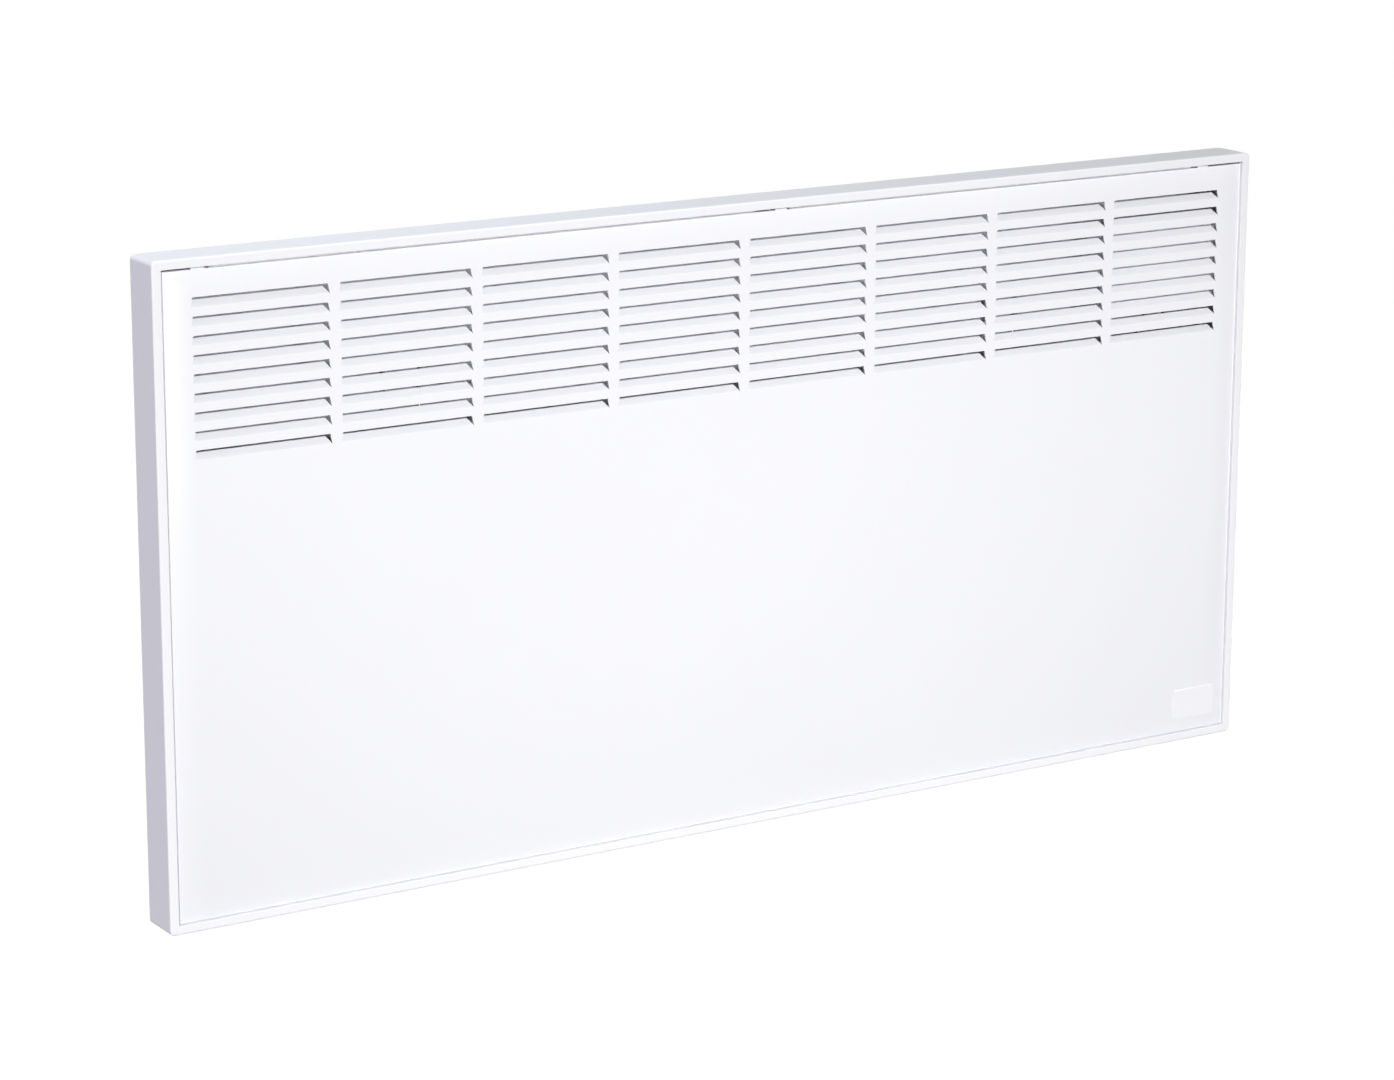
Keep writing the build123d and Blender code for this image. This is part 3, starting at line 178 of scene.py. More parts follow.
class Former(Tree):
    """A geometry tree with one named input for each size it takes."""

    def __init__(self, name, sizes):
        super().__init__(bpy.data.node_groups.new(name, "GeometryNodeTree"))
        self.sizes = sizes
        self.identifiers = {}
        for size, value in sizes.items():
            kind = "NodeSocketInt" if isinstance(value, int) else "NodeSocketFloat"
            socket = self.group.interface.new_socket(name=size, in_out="INPUT", socket_type=kind)
            self.identifiers[size] = socket.identifier
        self.group.interface.new_socket(
            name="Geometry", in_out="OUTPUT", socket_type="NodeSocketGeometry"
        )
        self.entry = self.group.nodes.new("NodeGroupInput")

    def size(self, name):
        return Sum(self, self.entry.outputs[name])

    def position(self):
        return self.parts_of(self.add("GeometryNodeInputPosition").outputs["Position"])

    def moved(self, geometry, x, y, z):
        vector = self.vector(x, y, z)
        node = self.add("GeometryNodeSetPosition", {"Geometry": geometry, "Position": vector})
        return node.outputs["Geometry"]

    def shaded(self, geometry, smooth):
        node = self.add("GeometryNodeSetShadeSmooth", {0: geometry, "Shade Smooth": smooth})
        return node.outputs[0]

    def joined(self, *parts):
        node = self.add("GeometryNodeJoinGeometry")
        for part in parts:
            self.group.links.new(part, node.inputs["Geometry"])
        return node.outputs["Geometry"]

    def merged(self, geometry):
        node = self.add(
            "GeometryNodeMergeByDistance", {"Geometry": geometry, "Distance": WELD_DISTANCE}
        )
        return node.outputs["Geometry"]

    def turned(self, geometry, shift, turn):
        node = self.add(
            "GeometryNodeTransform",
            {"Geometry": geometry, "Translation": shift, "Rotation": turn},
        )
        return node.outputs["Geometry"]

    def round_bar(self, start, end, radius, sides):
        """A straight round bar with closed ends."""
        line = self.add("GeometryNodeCurvePrimitiveLine", {"Start": start, "End": end})
        ring = self.add(
            "GeometryNodeCurvePrimitiveCircle", {"Resolution": sides, "Radius": radius}
        )
        bar = self.add(
            "GeometryNodeCurveToMesh",
            {"Curve": line.outputs[0], "Profile Curve": ring.outputs[0], "Fill Caps": True},
        )
        return bar.outputs["Mesh"]

    def around(self, geometry, count):
        """Copies of a geometry, evenly turned about Z."""
        spots = self.add("GeometryNodeMeshLine", {"Count": count, "Offset": (0, 0, 0)})
        index = Sum(self, self.add("GeometryNodeInputIndex").outputs[0])
        turn = self.vector(0, 0, index * (2 * pi) / count)
        node = self.add(
            "GeometryNodeInstanceOnPoints",
            {"Points": spots.outputs[0], "Instance": geometry, "Rotation": turn},
        )
        return node.outputs[0]

    def finish(self, geometry, material):
        """Ends the tree with plain, painted geometry."""
        real = self.add("GeometryNodeRealizeInstances", {"Geometry": geometry})
        painted = self.add(
            "GeometryNodeSetMaterial", {"Geometry": real.outputs[0], "Material": material}
        )
        leave = self.group.nodes.new("NodeGroupOutput")
        self.group.links.new(painted.outputs[0], leave.inputs["Geometry"])


def formed(former, name, sheet=0.0, rounding=0.0):
    """The mesh object that a former makes from its sizes, given a sheet thickness or bevelled."""
    mould = bpy.data.objects.new(name + "_mould", bpy.data.meshes.new(name + "_mould"))
    scene.collection.objects.link(mould)
    modifier = mould.modifiers.new("form", "NODES")
    modifier.node_group = former.group
    for size, identifier in former.identifiers.items():
        modifier[identifier] = former.sizes[size]
    if sheet:
        shell = mould.modifiers.new("sheet", "SOLIDIFY")
        shell.thickness = sheet
        shell.offset = -1
    if rounding:
        soften = mould.modifiers.new("rounding", "BEVEL")
        soften.width = rounding
        soften.segments = ROUNDING_STEPS
        soften.limit_method = "ANGLE"
    graph = bpy.context.evaluated_depsgraph_get()
    mesh = bpy.data.meshes.new_from_object(mould.evaluated_get(graph), depsgraph=graph)
    bpy.data.objects.remove(mould)
    mesh.set_sharp_from_angle(angle=SHARP_ANGLE)
    mesh.name = name
    piece = bpy.data.objects.new(name, mesh)
    scene.collection.objects.link(piece)
    return piece


def lathed(name, profile, sides, matrix):
    """A closed turned shape from (radius, height) points, its axis laid along the matrix's Z."""
    bm = bmesh.new()
    rings = []
    for radius, height in profile:
        if radius == 0:
            rings.append([bm.verts.new((0, 0, height))])
        else:
            turns = [2 * pi * side / sides for side in range(sides)]
            rings.append([bm.verts.new((radius * cos(t), radius * sin(t), height)) for t in turns])
    for low, high in zip(rings, rings[1:]):
        for side in range(sides):
            after = (side + 1) % sides
            corners = [low[side % len(low)], low[after % len(low)]]
            corners += [high[after % len(high)], high[side % len(high)]]
            bm.faces.new(dict.fromkeys(corners))
    bmesh.ops.transform(bm, matrix=matrix, verts=bm.verts)
    bmesh.ops.recalc_face_normals(bm, faces=bm.faces)
    mesh = bpy.data.meshes.new(name)
    bm.to_mesh(mesh)
    bm.free()
    mesh.shade_smooth()
    mesh.set_sharp_from_angle(angle=SHARP_ANGLE)
    piece = bpy.data.objects.new(name, mesh)
    scene.collection.objects.link(piece)
    return piece


def printed(name, marks, material):
    """Flat printed marks as one piece: (text, height, matrix) for each, a hair thick."""
    bm = bmesh.new()
    for text, height, matrix in marks:
        curve = bpy.data.curves.new(name, "FONT")
        curve.body = text
        curve.size = height
        curve.extrude = PRINT_HALF_THICKNESS
        curve.align_x = "CENTER"
        curve.align_y = "CENTER"
        curve.resolution_u = PRINT_CURVE_STEPS
        writing = bpy.data.objects.new(name + "_text", curve)
        scene.collection.objects.link(writing)
        graph = bpy.context.evaluated_depsgraph_get()
        mesh = bpy.data.meshes.new_from_object(writing.evaluated_get(graph), depsgraph=graph)
        mesh.transform(matrix)
        bm.from_mesh(mesh)
        bpy.data.objects.remove(writing)
        bpy.data.meshes.remove(mesh)
    bmesh.ops.remove_doubles(bm, verts=bm.verts, dist=TEXT_WELD_DISTANCE)
    bmesh.ops.recalc_face_normals(bm, faces=bm.faces)
    mesh = bpy.data.meshes.new(name)
    bm.to_mesh(mesh)
    bm.free()
    mesh.materials.append(material)
    piece = bpy.data.objects.new(name, mesh)
    scene.collection.objects.link(piece)
    return piece


# ---------------------------------------------------------------- finishes
class Finish(Tree):
    """A material built around one Principled shader, with patterns on Object coordinates."""

    def __init__(self, name, colour, roughness, metallic=0.0):
        self.material = bpy.data.materials.new(name)
        self.material.use_nodes = True
        super().__init__(self.material.node_tree)
        self.group.nodes.clear()
        self.shader = self.add("ShaderNodeBsdfPrincipled", {"Metallic": metallic})
        output = self.add("ShaderNodeOutputMaterial")
        self.group.links.new(self.shader.outputs[0], output.inputs["Surface"])
        self.colour = (*colour, 1.0)
        self.roughness = roughness
        self.coordinates = self.add("ShaderNodeTexCoord").outputs["Object"]
        self.shader.inputs["Base Color"].default_value = self.colour
        self.shader.inputs["Roughness"].default_value = roughness

    def stretched(self, x, y, z):
        """Coordinates scaled along each axis. The smaller the scale, the longer the pattern."""
        node = self.add(
            "ShaderNodeMapping", {"Vector": self.coordinates, "Scale": (x, y, z)}
        )
        return node.outputs[0]

    def noise(self, scale, detail, along=None):
        vector = along or self.coordinates
        node = self.add(
            "ShaderNodeTexNoise", {"Vector": vector, "Scale": scale, "Detail": detail}
        )
        return Sum(self, node.outputs[0])

    def cells(self, scale):
        """A number for each cell of a broken, crystal-like pattern."""
        node = self.add("ShaderNodeTexVoronoi", {"Vector": self.coordinates, "Scale": scale})
        return Sum(self, node.outputs["Color"])

    def between(self, amount, low, high):
        """A number that goes from low to high over the range where most of a noise lies."""
        span = {"From Min": NOISE_LOW, "From Max": NOISE_HIGH, "To Min": low, "To Max": high}
        node = self.add("ShaderNodeMapRange", {"Value": amount, **span})
        return Sum(self, node.outputs[0])

    def mixed(self, amount, first, second):
        node = self.add("ShaderNodeMix", {0: amount, 6: first, 7: second}, data_type="RGBA")
        return node.outputs[2]

    def worn_edges(self, radius):
        """1 on edges sharper than this radius, fading to 0 on flat faces."""
        rounded = self.add("ShaderNodeBevel", {"Radius": radius}, samples=EDGE_RAYS)
        flat = self.add("ShaderNodeNewGeometry")
        dot = self.add("ShaderNodeVectorMath", operation="DOT_PRODUCT")
        self.group.links.new(rounded.outputs[0], dot.inputs[0])
        self.group.links.new(flat.outputs["Normal"], dot.inputs[1])
        turned = 1.0 - Sum(self, dot.outputs["Value"])
        return self.least(turned * EDGE_GAIN, 1.0)

    def tint(self, amount, darker, lighter):
        """The base colour, varied in brightness by the amount between two factors."""
        low = tuple(channel * darker for channel in self.colour[:3]) + (1.0,)
        high = tuple(min(channel * lighter, 1.0) for channel in self.colour[:3]) + (1.0,)
        return self.mixed(self.between(amount, 0.0, 1.0), low, high)

    def paint(self, colour):
        self.feed(self.shader.inputs["Base Color"], colour)

    def polish(self, amount, spread):
        """The roughness, varied by the amount up to a spread either way."""
        varied = self.between(amount, self.roughness - spread, self.roughness + spread)
        self.feed(self.shader.inputs["Roughness"], varied)

    def relief(self, height, depth):
        """A bump of this depth from a height pattern."""
        bump = self.add("ShaderNodeBump", {"Height": height, "Distance": depth})
        self.feed(self.shader.inputs["Normal"], bump.outputs[0])

    def fix(self, **numbers):
        """Sets the shader's own sockets, each named with underscores for spaces."""
        for name, value in numbers.items():
            self.shader.inputs[name.replace("_", " ")].default_value = value


def powder_coat(name, colour, roughness, gloss, shine):
    """Sprayed and baked coat: fine orange peel, faint colour drift, duller on sharp edges."""
    finish = Finish(name, colour, roughness)
    drift = finish.noise(scale=4.0, detail=3.0)
    peel = finish.noise(scale=700.0, detail=2.0)
    speck = finish.noise(scale=2600.0, detail=1.0)
    handled = finish.noise(scale=22.0, detail=4.0)
    body = finish.tint(drift, darker=0.99, lighter=1.005)
    edge = tuple(channel * 0.94 for channel in colour) + (1.0,)
    worn = finish.worn_edges(radius=0.5 * MM) * finish.between(handled, low=0.0, high=0.6)
    finish.paint(finish.mixed(worn, body, edge))
    finish.polish(handled * 0.6 + speck * 0.4, spread=0.02)
    finish.relief(peel + speck * 0.25, depth=0.02 * MM)
    finish.fix(Coat_Weight=gloss, Coat_Roughness=0.08, Specular_IOR_Level=shine)
    return finish.material


def zinc_plate(name, colour):
    """Galvanised or zinc-plated sheet: pale spangles, fine rolling lines, a few dull patches."""
    finish = Finish(name, colour, roughness=0.66, metallic=0.85)
    spangle = finish.cells(scale=140.0)
    rolling = finish.noise(scale=60.0, detail=3.0, along=finish.stretched(1.0, 1.0, 30.0))
    dull = finish.noise(scale=14.0, detail=4.0)
    shade = finish.tint(spangle * 0.5 + rolling * 0.2 + dull * 0.3, darker=0.82, lighter=1.12)
    edge = tuple(min(channel * 1.2, 1.0) for channel in colour) + (1.0,)
    finish.paint(finish.mixed(finish.worn_edges(radius=0.4 * MM), shade, edge))
    finish.polish(dull * 0.6 + spangle * 0.4, spread=0.12)
    finish.relief(rolling, depth=0.015 * MM)
    return finish.material


def drawn_metal(name, colour, roughness, lines):
    """Extruded, drawn or turned metal. Its lines run along the axes that are scaled least."""
    finish = Finish(name, colour, roughness, metallic=1.0)
    streaks = finish.noise(scale=900.0, detail=3.0, along=finish.stretched(*lines))
    stain = finish.noise(scale=30.0, detail=4.0)
    shade = finish.tint(streaks * 0.4 + stain * 0.6, darker=0.8, lighter=1.1)
    bright = tuple(min(channel * 1.15, 1.0) for channel in colour) + (1.0,)
    finish.paint(finish.mixed(finish.worn_edges(radius=0.3 * MM), shade, bright))
    finish.polish(streaks * 0.5 + stain * 0.5, spread=0.1)
    finish.relief(streaks, depth=0.01 * MM)
    return finish.material


def moulded(name, colour, roughness, grain):
    """Moulded plastic: spark-eroded grain, faint flow marks and edges rubbed paler."""
    finish = Finish(name, colour, roughness)
    texture = finish.noise(scale=grain, detail=2.0)
    flow = finish.noise(scale=40.0, detail=4.0)
    rubbed = tuple(min(channel * 1.06, 1.0) for channel in colour) + (1.0,)
    body = finish.tint(flow, darker=0.96, lighter=1.02)
    finish.paint(finish.mixed(finish.worn_edges(radius=0.3 * MM) * 0.5, body, rubbed))
    finish.polish(texture * 0.5 + flow * 0.5, spread=0.07)
    finish.relief(texture, depth=0.02 * MM)
    finish.fix(Specular_IOR_Level=0.45)
    return finish.material


def rubber(name, colour):
    """Soft rubber with a bloom and a fine matt skin."""
    finish = Finish(name, colour, roughness=0.72)
    bloom = finish.noise(scale=70.0, detail=5.0)
    skin = finish.noise(scale=1500.0, detail=2.0)
    finish.paint(finish.tint(bloom, darker=0.9, lighter=1.05))
    finish.polish(bloom, spread=0.08)
    finish.relief(skin, depth=0.03 * MM)
    finish.fix(Specular_IOR_Level=0.3)
    return finish.material


def sleeve(name, colour, stripe=None):
    """Silicone lead sleeve, slightly waxy. A stripe colour takes turns with it across X."""
    finish = Finish(name, colour, roughness=0.5)
    wax = finish.noise(scale=90.0, detail=3.0)
    body = finish.tint(wax, darker=0.88, lighter=1.08)
    if stripe:
        across = finish.parts_of(finish.coordinates)[0]
        bands = ((across * STRIPES_PER_METRE) % 2.0) > 1.0
        body = finish.mixed(bands, body, (*stripe, 1.0))
    finish.paint(body)
    finish.polish(wax, spread=0.08)
    finish.relief(finish.noise(scale=1200.0, detail=2.0), depth=0.02 * MM)
    return finish.material


def fired_ceramic(name, colour, speckle):
    """Unglazed bush ceramic: chalky, with small dark specks and handling grey."""
    finish = Finish(name, colour, roughness=0.62)
    speck = finish.noise(scale=1100.0, detail=2.0)
    handled = finish.noise(scale=60.0, detail=4.0)
    body = finish.tint(handled, darker=0.9, lighter=1.03)
    spots = finish.between(speck, low=-1.2, high=1.0) > 0.85
    finish.paint(finish.mixed(spots, body, (*speckle, 1.0)))
    finish.polish(handled, spread=0.08)
    finish.relief(speck, depth=0.03 * MM)
    return finish.material


def lamp_lens(name, colour, rib_pitch):
    """Coloured lens with a ribbed inside, seen as darker bands above and below its middle."""
    finish = Finish(name, colour, roughness=0.12)
    height = finish.parts_of(finish.coordinates)[2]
    rise = finish.math("ABSOLUTE", height - LAMP_Z)
    ring = finish.math("SINE", rise * (2 * pi / rib_pitch))
    dust = finish.noise(scale=400.0, detail=3.0)
    finish.paint(finish.tint(ring * 0.2 + 0.5, darker=0.7, lighter=1.1))
    finish.polish(dust, spread=0.04)
    finish.relief(dust, depth=0.01 * MM)
    finish.fix(Coat_Weight=0.6, Coat_Roughness=0.03, Subsurface_Weight=0.2)
    finish.fix(Subsurface_Radius=(0.002, 0.0005, 0.0005))
    return finish.material


def print_ink(name, colour):
    """Pad-printed ink with slightly uneven cover."""
    finish = Finish(name, colour, roughness=0.45)
    cover = finish.noise(scale=1800.0, detail=3.0)
    finish.paint(finish.tint(cover, darker=0.85, lighter=1.15))
    finish.polish(cover, spread=0.06)
    finish.relief(cover, depth=0.005 * MM)
    return finish.material


FINISHES = {
    "painted_casing": powder_coat(
        "casing_satin_coat", (0.88, 0.883, 0.91), roughness=0.4, gloss=0.08, shine=0.3
    ),
    "painted_panel": powder_coat(
        "panel_gloss_coat", (0.882, 0.887, 0.92), roughness=0.32, gloss=0.12, shine=0.3
    ),
    "painted_cover": powder_coat(
        "cover_satin_coat", (0.80, 0.81, 0.84), roughness=0.42, gloss=0.08, shine=0.3
    ),
    "bare_plate": powder_coat(
        "badge_white_lacquer", (0.875, 0.878, 0.905), roughness=0.34, gloss=0.1, shine=0.3
    ),
    "rail_steel": zinc_plate("wall_rail_zinc", (0.42, 0.43, 0.45)),
    "inner_steel": zinc_plate("inner_galvanised_sheet", (0.66, 0.67, 0.68)),
    "shield_aluminium": zinc_plate("shield_aluminised_sheet", (0.80, 0.80, 0.80)),
    "zinc_screws": drawn_metal(
        "screw_bright_zinc", (0.70, 0.71, 0.72), roughness=0.3, lines=(1, 1, 1)
    ),
    "finned_aluminium": drawn_metal(
        "fin_raw_aluminium", (0.72, 0.73, 0.74), roughness=0.45, lines=(30, 30, 1)
    ),
    "rod_steel": drawn_metal(
        "rod_tinted_steel", (0.45, 0.44, 0.43), roughness=0.4, lines=(1, 30, 30)
    ),
    "thermostat_steel": drawn_metal(
        "thermostat_nickel", (0.60, 0.60, 0.60), roughness=0.3, lines=(30, 1, 1)
    ),
    "brass_nut": drawn_metal("stud_brass", (0.78, 0.62, 0.30), roughness=0.3, lines=(1, 1, 1)),
    "copper_tube": drawn_metal(
        "sensor_tinned_copper", (0.52, 0.46, 0.42), roughness=0.4, lines=(30, 30, 1)
    ),
    "bush_ceramic": fired_ceramic("bush_ceramic", (0.86, 0.84, 0.79), speckle=(0.42, 0.38, 0.33)),
    "cutout_black": moulded("cutout_phenolic", (0.08, 0.08, 0.08), roughness=0.4, grain=900.0),
    "control_plastic": moulded(
        "control_white_plastic", (0.88, 0.88, 0.90), roughness=0.45, grain=1400.0
    ),
    "knob_plastic": moulded("knob_grey_plastic", (0.80, 0.81, 0.84), roughness=0.4, grain=1400.0),
    "switch_black": moulded(
        "switch_black_plastic", (0.03, 0.03, 0.03), roughness=0.28, grain=1600.0
    ),
    "block_plastic": moulded(
        "block_natural_plastic", (0.90, 0.89, 0.85), roughness=0.5, grain=1000.0
    ),
    "lamp_red": lamp_lens("lamp_red_lens", (0.75, 0.10, 0.05), rib_pitch=0.5 * MM),
    "gland_rubber": rubber("gland_pale_rubber", (0.82, 0.82, 0.84)),
    "brown_lead": sleeve("lead_brown_sleeve", (0.15, 0.08, 0.055)),
    "blue_lead": sleeve("lead_blue_sleeve", (0.05, 0.15, 0.50)),
    "earth_lead": sleeve("lead_earth_sleeve", (0.35, 0.55, 0.08), stripe=(0.85, 0.75, 0.05)),
}
dial_ink = print_ink("dial_grey_ink", (0.16, 0.16, 0.18))
rocker_ink = print_ink("rocker_white_ink", (0.85, 0.85, 0.85))

# Every CAD node wears the finish of its own material slot.
for part in frame["record"]["subparts"]:
    node = frame["nodes"][part["node"]]
    for holder in node.material_slots:
        holder.material = FINISHES[part["material_slot"]]


# ---------------------------------------------------------------- louvred front panel
BORDER_LINES = 4.0
FOLD_STEPS = 2.0
FLAP_BEND_STEPS = 4.0
FLAP_BLADE_STEPS = 2.0


def panel_line(tree, index, count, half, start, pitch, opening):
    """Of grid line number index along one side of the panel: its place, its drop behind the face,
    whether it is the far edge of a slot, and whether it lies inside the border. The border lines
    at each end make the rounded fold and its leg."""
    from_end = tree.least(index, (count - 1.0) - index)
    side = tree.math("SIGN", index - (count - 1.0) / 2.0)
    bent = ((BORDER_LINES - 1.0) - from_end) / FOLD_STEPS
    turn = tree.most(tree.least(bent, 1.0), 0.0) * (pi / 2)
    radius = tree.size("Edge Radius")
    folded = (from_end < 0.5) * (tree.size("Fold") - radius)
    drop = radius * (1.0 - tree.math("COSINE", turn)) + folded
    border = side * (half - radius * (1.0 - tree.math("SINE", turn)))
    step = index - BORDER_LINES
    far_edge = step % 2.0
    inside = start + tree.floor(step / 2.0) * pitch + far_edge * opening
    in_field = from_end > BORDER_LINES - 0.5
    return border + (inside - border) * in_field, drop, far_edge * in_field, in_field


def louvred_panel():
    """The front panel as one bent sheet: a pierced face, folded borders and inward flaps."""
    tree = Former(
        "louvred_panel",
        {
            "Width": PANEL_WIDTH,
            "Height": PANEL_HEIGHT,
            "Out": PANEL_OUT,
            "Edge Radius": 0.7 * MM,
            "Fold": 4 * MM,
            "Columns": LOUVRE_COLUMNS,
            "Rows": LOUVRE_ROWS,
            "Slot Length": SLOT_LENGTH,
            "Slot Height": SLOT_HEIGHT,
            "End Taper": 1.5 * MM,
            "Flap Taper": 3.0 * MM,
            "Bridge": SLOT_BRIDGE,
            "Web": LOUVRE_WEB,
            "Slot Top": SLOT_TOP,
            "Flap Angle": FLAP_ANGLE,
            "Bend Radius": 1.2 * MM,
        },
    )
    columns, rows = tree.size("Columns"), tree.size("Rows")
    length, height = tree.size("Slot Length"), tree.size("Slot Height")
    taper, out = tree.size("End Taper"), tree.size("Out")
    pitch_x = length + tree.size("Bridge")
    pitch_z = height + tree.size("Web")
    lines_x = columns * 2.0 + 2.0 * BORDER_LINES
    lines_z = rows * 2.0 + 2.0 * BORDER_LINES
    first_x = (columns - 1.0) / -2.0 * pitch_x - length / 2.0
    first_z = tree.size("Slot Top") - height - (rows - 1.0) * pitch_z

    # The face is a grid with one line for every edge, from which the slots are deleted.
    grid = tree.add(
        "GeometryNodeMeshGrid",
        {
            "Size X": lines_x - 1.0,
            "Size Y": lines_z - 1.0,
            "Vertices X": lines_x,
            "Vertices Y": lines_z,
        },
    )
    grid_x, grid_z, _ = tree.position()
    cell_x = tree.floor(grid_x + (lines_x - 1.0) / 2.0)
    cell_z = tree.floor(grid_z + (lines_z - 1.0) / 2.0)
    slot = (1.0 - cell_x % 2.0) * (1.0 - cell_z % 2.0)
    for cell, lines in ((cell_x, lines_x), (cell_z, lines_z)):
        slot = slot * (cell > BORDER_LINES - 0.5) * (cell < lines - (BORDER_LINES + 0.5))
    pierced = tree.add(
        "GeometryNodeDeleteGeometry",
        {"Geometry": grid.outputs[0], "Selection": slot},
        domain="FACE",
    )
    index_x = tree.math("ROUND", grid_x + (lines_x - 1.0) / 2.0)
    index_z = tree.math("ROUND", grid_z + (lines_z - 1.0) / 2.0)
    x, drop_x, right_end, in_columns = panel_line(
        tree, index_x, lines_x, tree.size("Width") / 2.0, first_x, pitch_x, length
    )
    z, drop_z, slot_top, _ = panel_line(
        tree, index_z, lines_z, tree.size("Height") / 2.0, first_z, pitch_z, height
    )
    narrowing = taper * slot_top * in_columns * (1.0 - right_end * 2.0)
    sheet = tree.moved(
        pierced.outputs[0], x + narrowing, tree.most(drop_x, drop_z) - out, z
    )

    # Each flap bends in from the foot of its slot: first an arc, then a straight blade.
    flap_steps = FLAP_BEND_STEPS + FLAP_BLADE_STEPS
    blade = tree.add(
        "GeometryNodeMeshGrid",
        {
            "Size X": 1.0,
            "Size Y": flap_steps,
            "Vertices X": 2,
            "Vertices Y": int(flap_steps) + 1,
        },
    )
    end, along, _ = tree.position()
    step = along + flap_steps / 2.0
    bend = tree.size("Bend Radius")
    angle = tree.least(step / FLAP_BEND_STEPS, 1.0) * tree.size("Flap Angle")
    blade_length = height - bend * tree.size("Flap Angle")
    straight = tree.most(step - FLAP_BEND_STEPS, 0.0) / FLAP_BLADE_STEPS * blade_length
    lean, rise = tree.math("SINE", angle), tree.math("COSINE", angle)
    half = length / 2.0 - tree.size("Flap Taper") * (bend * angle + straight) / height
    flap = tree.moved(
        blade.outputs[0],
        end * 2.0 * half,
        bend * (1.0 - rise) + straight * lean,
        bend * lean + straight * rise,
    )
    spots = tree.add(
        "GeometryNodeMeshGrid",
        {
            "Size X": (columns - 1.0) * pitch_x,
            "Size Y": (rows - 1.0) * pitch_z,
            "Vertices X": columns,
            "Vertices Y": rows,
        },
    )
    spot_x, spot_z, _ = tree.position()
    middle_z = first_z + (rows - 1.0) * pitch_z / 2.0
    hinges = tree.moved(spots.outputs[0], spot_x, 0.0 - out, spot_z + middle_z)
    flaps = tree.add(
        "GeometryNodeInstanceOnPoints",
        {"Points": hinges, "Instance": tree.shaded(flap, True)},
    )
    real = tree.add("GeometryNodeRealizeInstances", {"Geometry": flaps.outputs[0]})
    whole = tree.merged(tree.joined(tree.shaded(sheet, False), real.outputs[0]))
    tree.finish(whole, FINISHES["painted_panel"])
    return formed(tree, "louvred_panel", sheet=PANEL_SHEET)


panel = louvred_panel()
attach(panel, "heater")
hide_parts("front_panel")


# ---------------------------------------------------------------- tabs and flange of the panel
TAB_LEFT, TAB_MIDDLE, TAB_RIGHT = -417 * MM, 30 * MM, 407 * MM


def panel_tabs():
    """Six tabs of the panel that reach across the gap to the frame, three at the head and three,
    set deeper, at the foot."""
    tree = Former(
        "panel_tabs",
        {
            "Tab Width": 10 * MM,
            "Tab Start": 216.3 * MM,
            "Tab End": 221.5 * MM,
            "Left": TAB_LEFT,
            "Middle": TAB_MIDDLE,
            "Right": TAB_RIGHT,
            "Head Out": PANEL_OUT - 0.1 * MM,
            "Foot Out": PANEL_OUT - 1.9 * MM,
            "Sheet": PANEL_SHEET,
        },
    )
    start, end, sheet = tree.size("Tab Start"), tree.size("Tab End"), tree.size("Sheet")
    size = tree.vector(tree.size("Tab Width"), sheet, end - start)
    tabs = []
    for place_name in ("Left", "Middle", "Right"):
        for hand, out_name in ((1.0, "Head Out"), (-1.0, "Foot Out")):
            tab = tree.add("GeometryNodeMeshCube", {"Size": size})
            spot = tree.vector(
                tree.size(place_name), sheet * 0.5 - tree.size(out_name), (start + end) / 2.0 * hand
            )
            tabs.append(tree.turned(tab.outputs[0], spot, UNTURNED))
    tree.finish(tree.joined(*tabs), FINISHES["painted_panel"])
    return formed(tree, "panel_tabs", rounding=0.25 * MM)


tabs = panel_tabs()
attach(tabs, "heater")


def panel_flange():
    """The panel's outward flange, behind its face, that backs the gap all round at a depth of its
    own on each side. At the head it stops short of the tabs and of the corners, which stay open."""
    tree = Former(
        "panel_flange",
        {
            "Half Width": PANEL_WIDTH / 2,
            "Half Height": PANEL_HEIGHT / 2,
            "Overlap": 0.6 * MM,
            "Reach": 1.35 * MM,
            "Left Out": PANEL_OUT - 3.0 * MM,
            "Right Out": PANEL_OUT - 0.6 * MM,
            "Foot Out": PANEL_OUT - 1.6 * MM,
            "Head Out": PANEL_OUT - 2.5 * MM,
            "Left Tab": TAB_LEFT,
            "Middle Tab": TAB_MIDDLE,
            "Right Tab": TAB_RIGHT,
            "Tab Relief": 9 * MM,
            "Middle Relief": 20 * MM,
            "Sheet": PANEL_SHEET,
        },
    )
    width, height = tree.size("Half Width"), tree.size("Half Height")
    overlap, reach, sheet = tree.size("Overlap"), tree.size("Reach"), tree.size("Sheet")
    strip = overlap + reach
    middle = (reach - overlap) / 2.0
    relief = tree.size("Tab Relief")

    def upright(out_name, side):
        bar = tree.add(
            "GeometryNodeMeshCube", {"Size": tree.vector(strip, sheet, height * 2.0 + reach)}
        )
        spot = tree.vector((width + middle) * side, sheet * 0.5 - tree.size(out_name), reach / -2.0)
        return tree.turned(bar.outputs[0], spot, UNTURNED)

    def level(out_name, side, start, end):
        bar = tree.add("GeometryNodeMeshCube", {"Size": tree.vector(end - start, sheet, strip)})
        spot = tree.vector(
            (start + end) / 2.0, sheet * 0.5 - tree.size(out_name), (height + middle) * side
        )
        return tree.turned(bar.outputs[0], spot, UNTURNED)

    inside = width - overlap
    strips = tree.joined(
        upright("Left Out", -1.0),
        upright("Right Out", 1.0),
        level("Foot Out", -1.0, 0.0 - inside, inside),
        level(
            "Head Out",
            1.0,
            tree.size("Left Tab") + relief,
            tree.size("Middle Tab") - tree.size("Middle Relief"),
        ),
        level("Head Out", 1.0, tree.size("Middle Tab") + relief, tree.size("Right Tab") - relief),
    )
    tree.finish(strips, FINISHES["painted_panel"])
    return formed(tree, "panel_flange", rounding=0.15 * MM)


flange = panel_flange()
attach(flange, "heater")


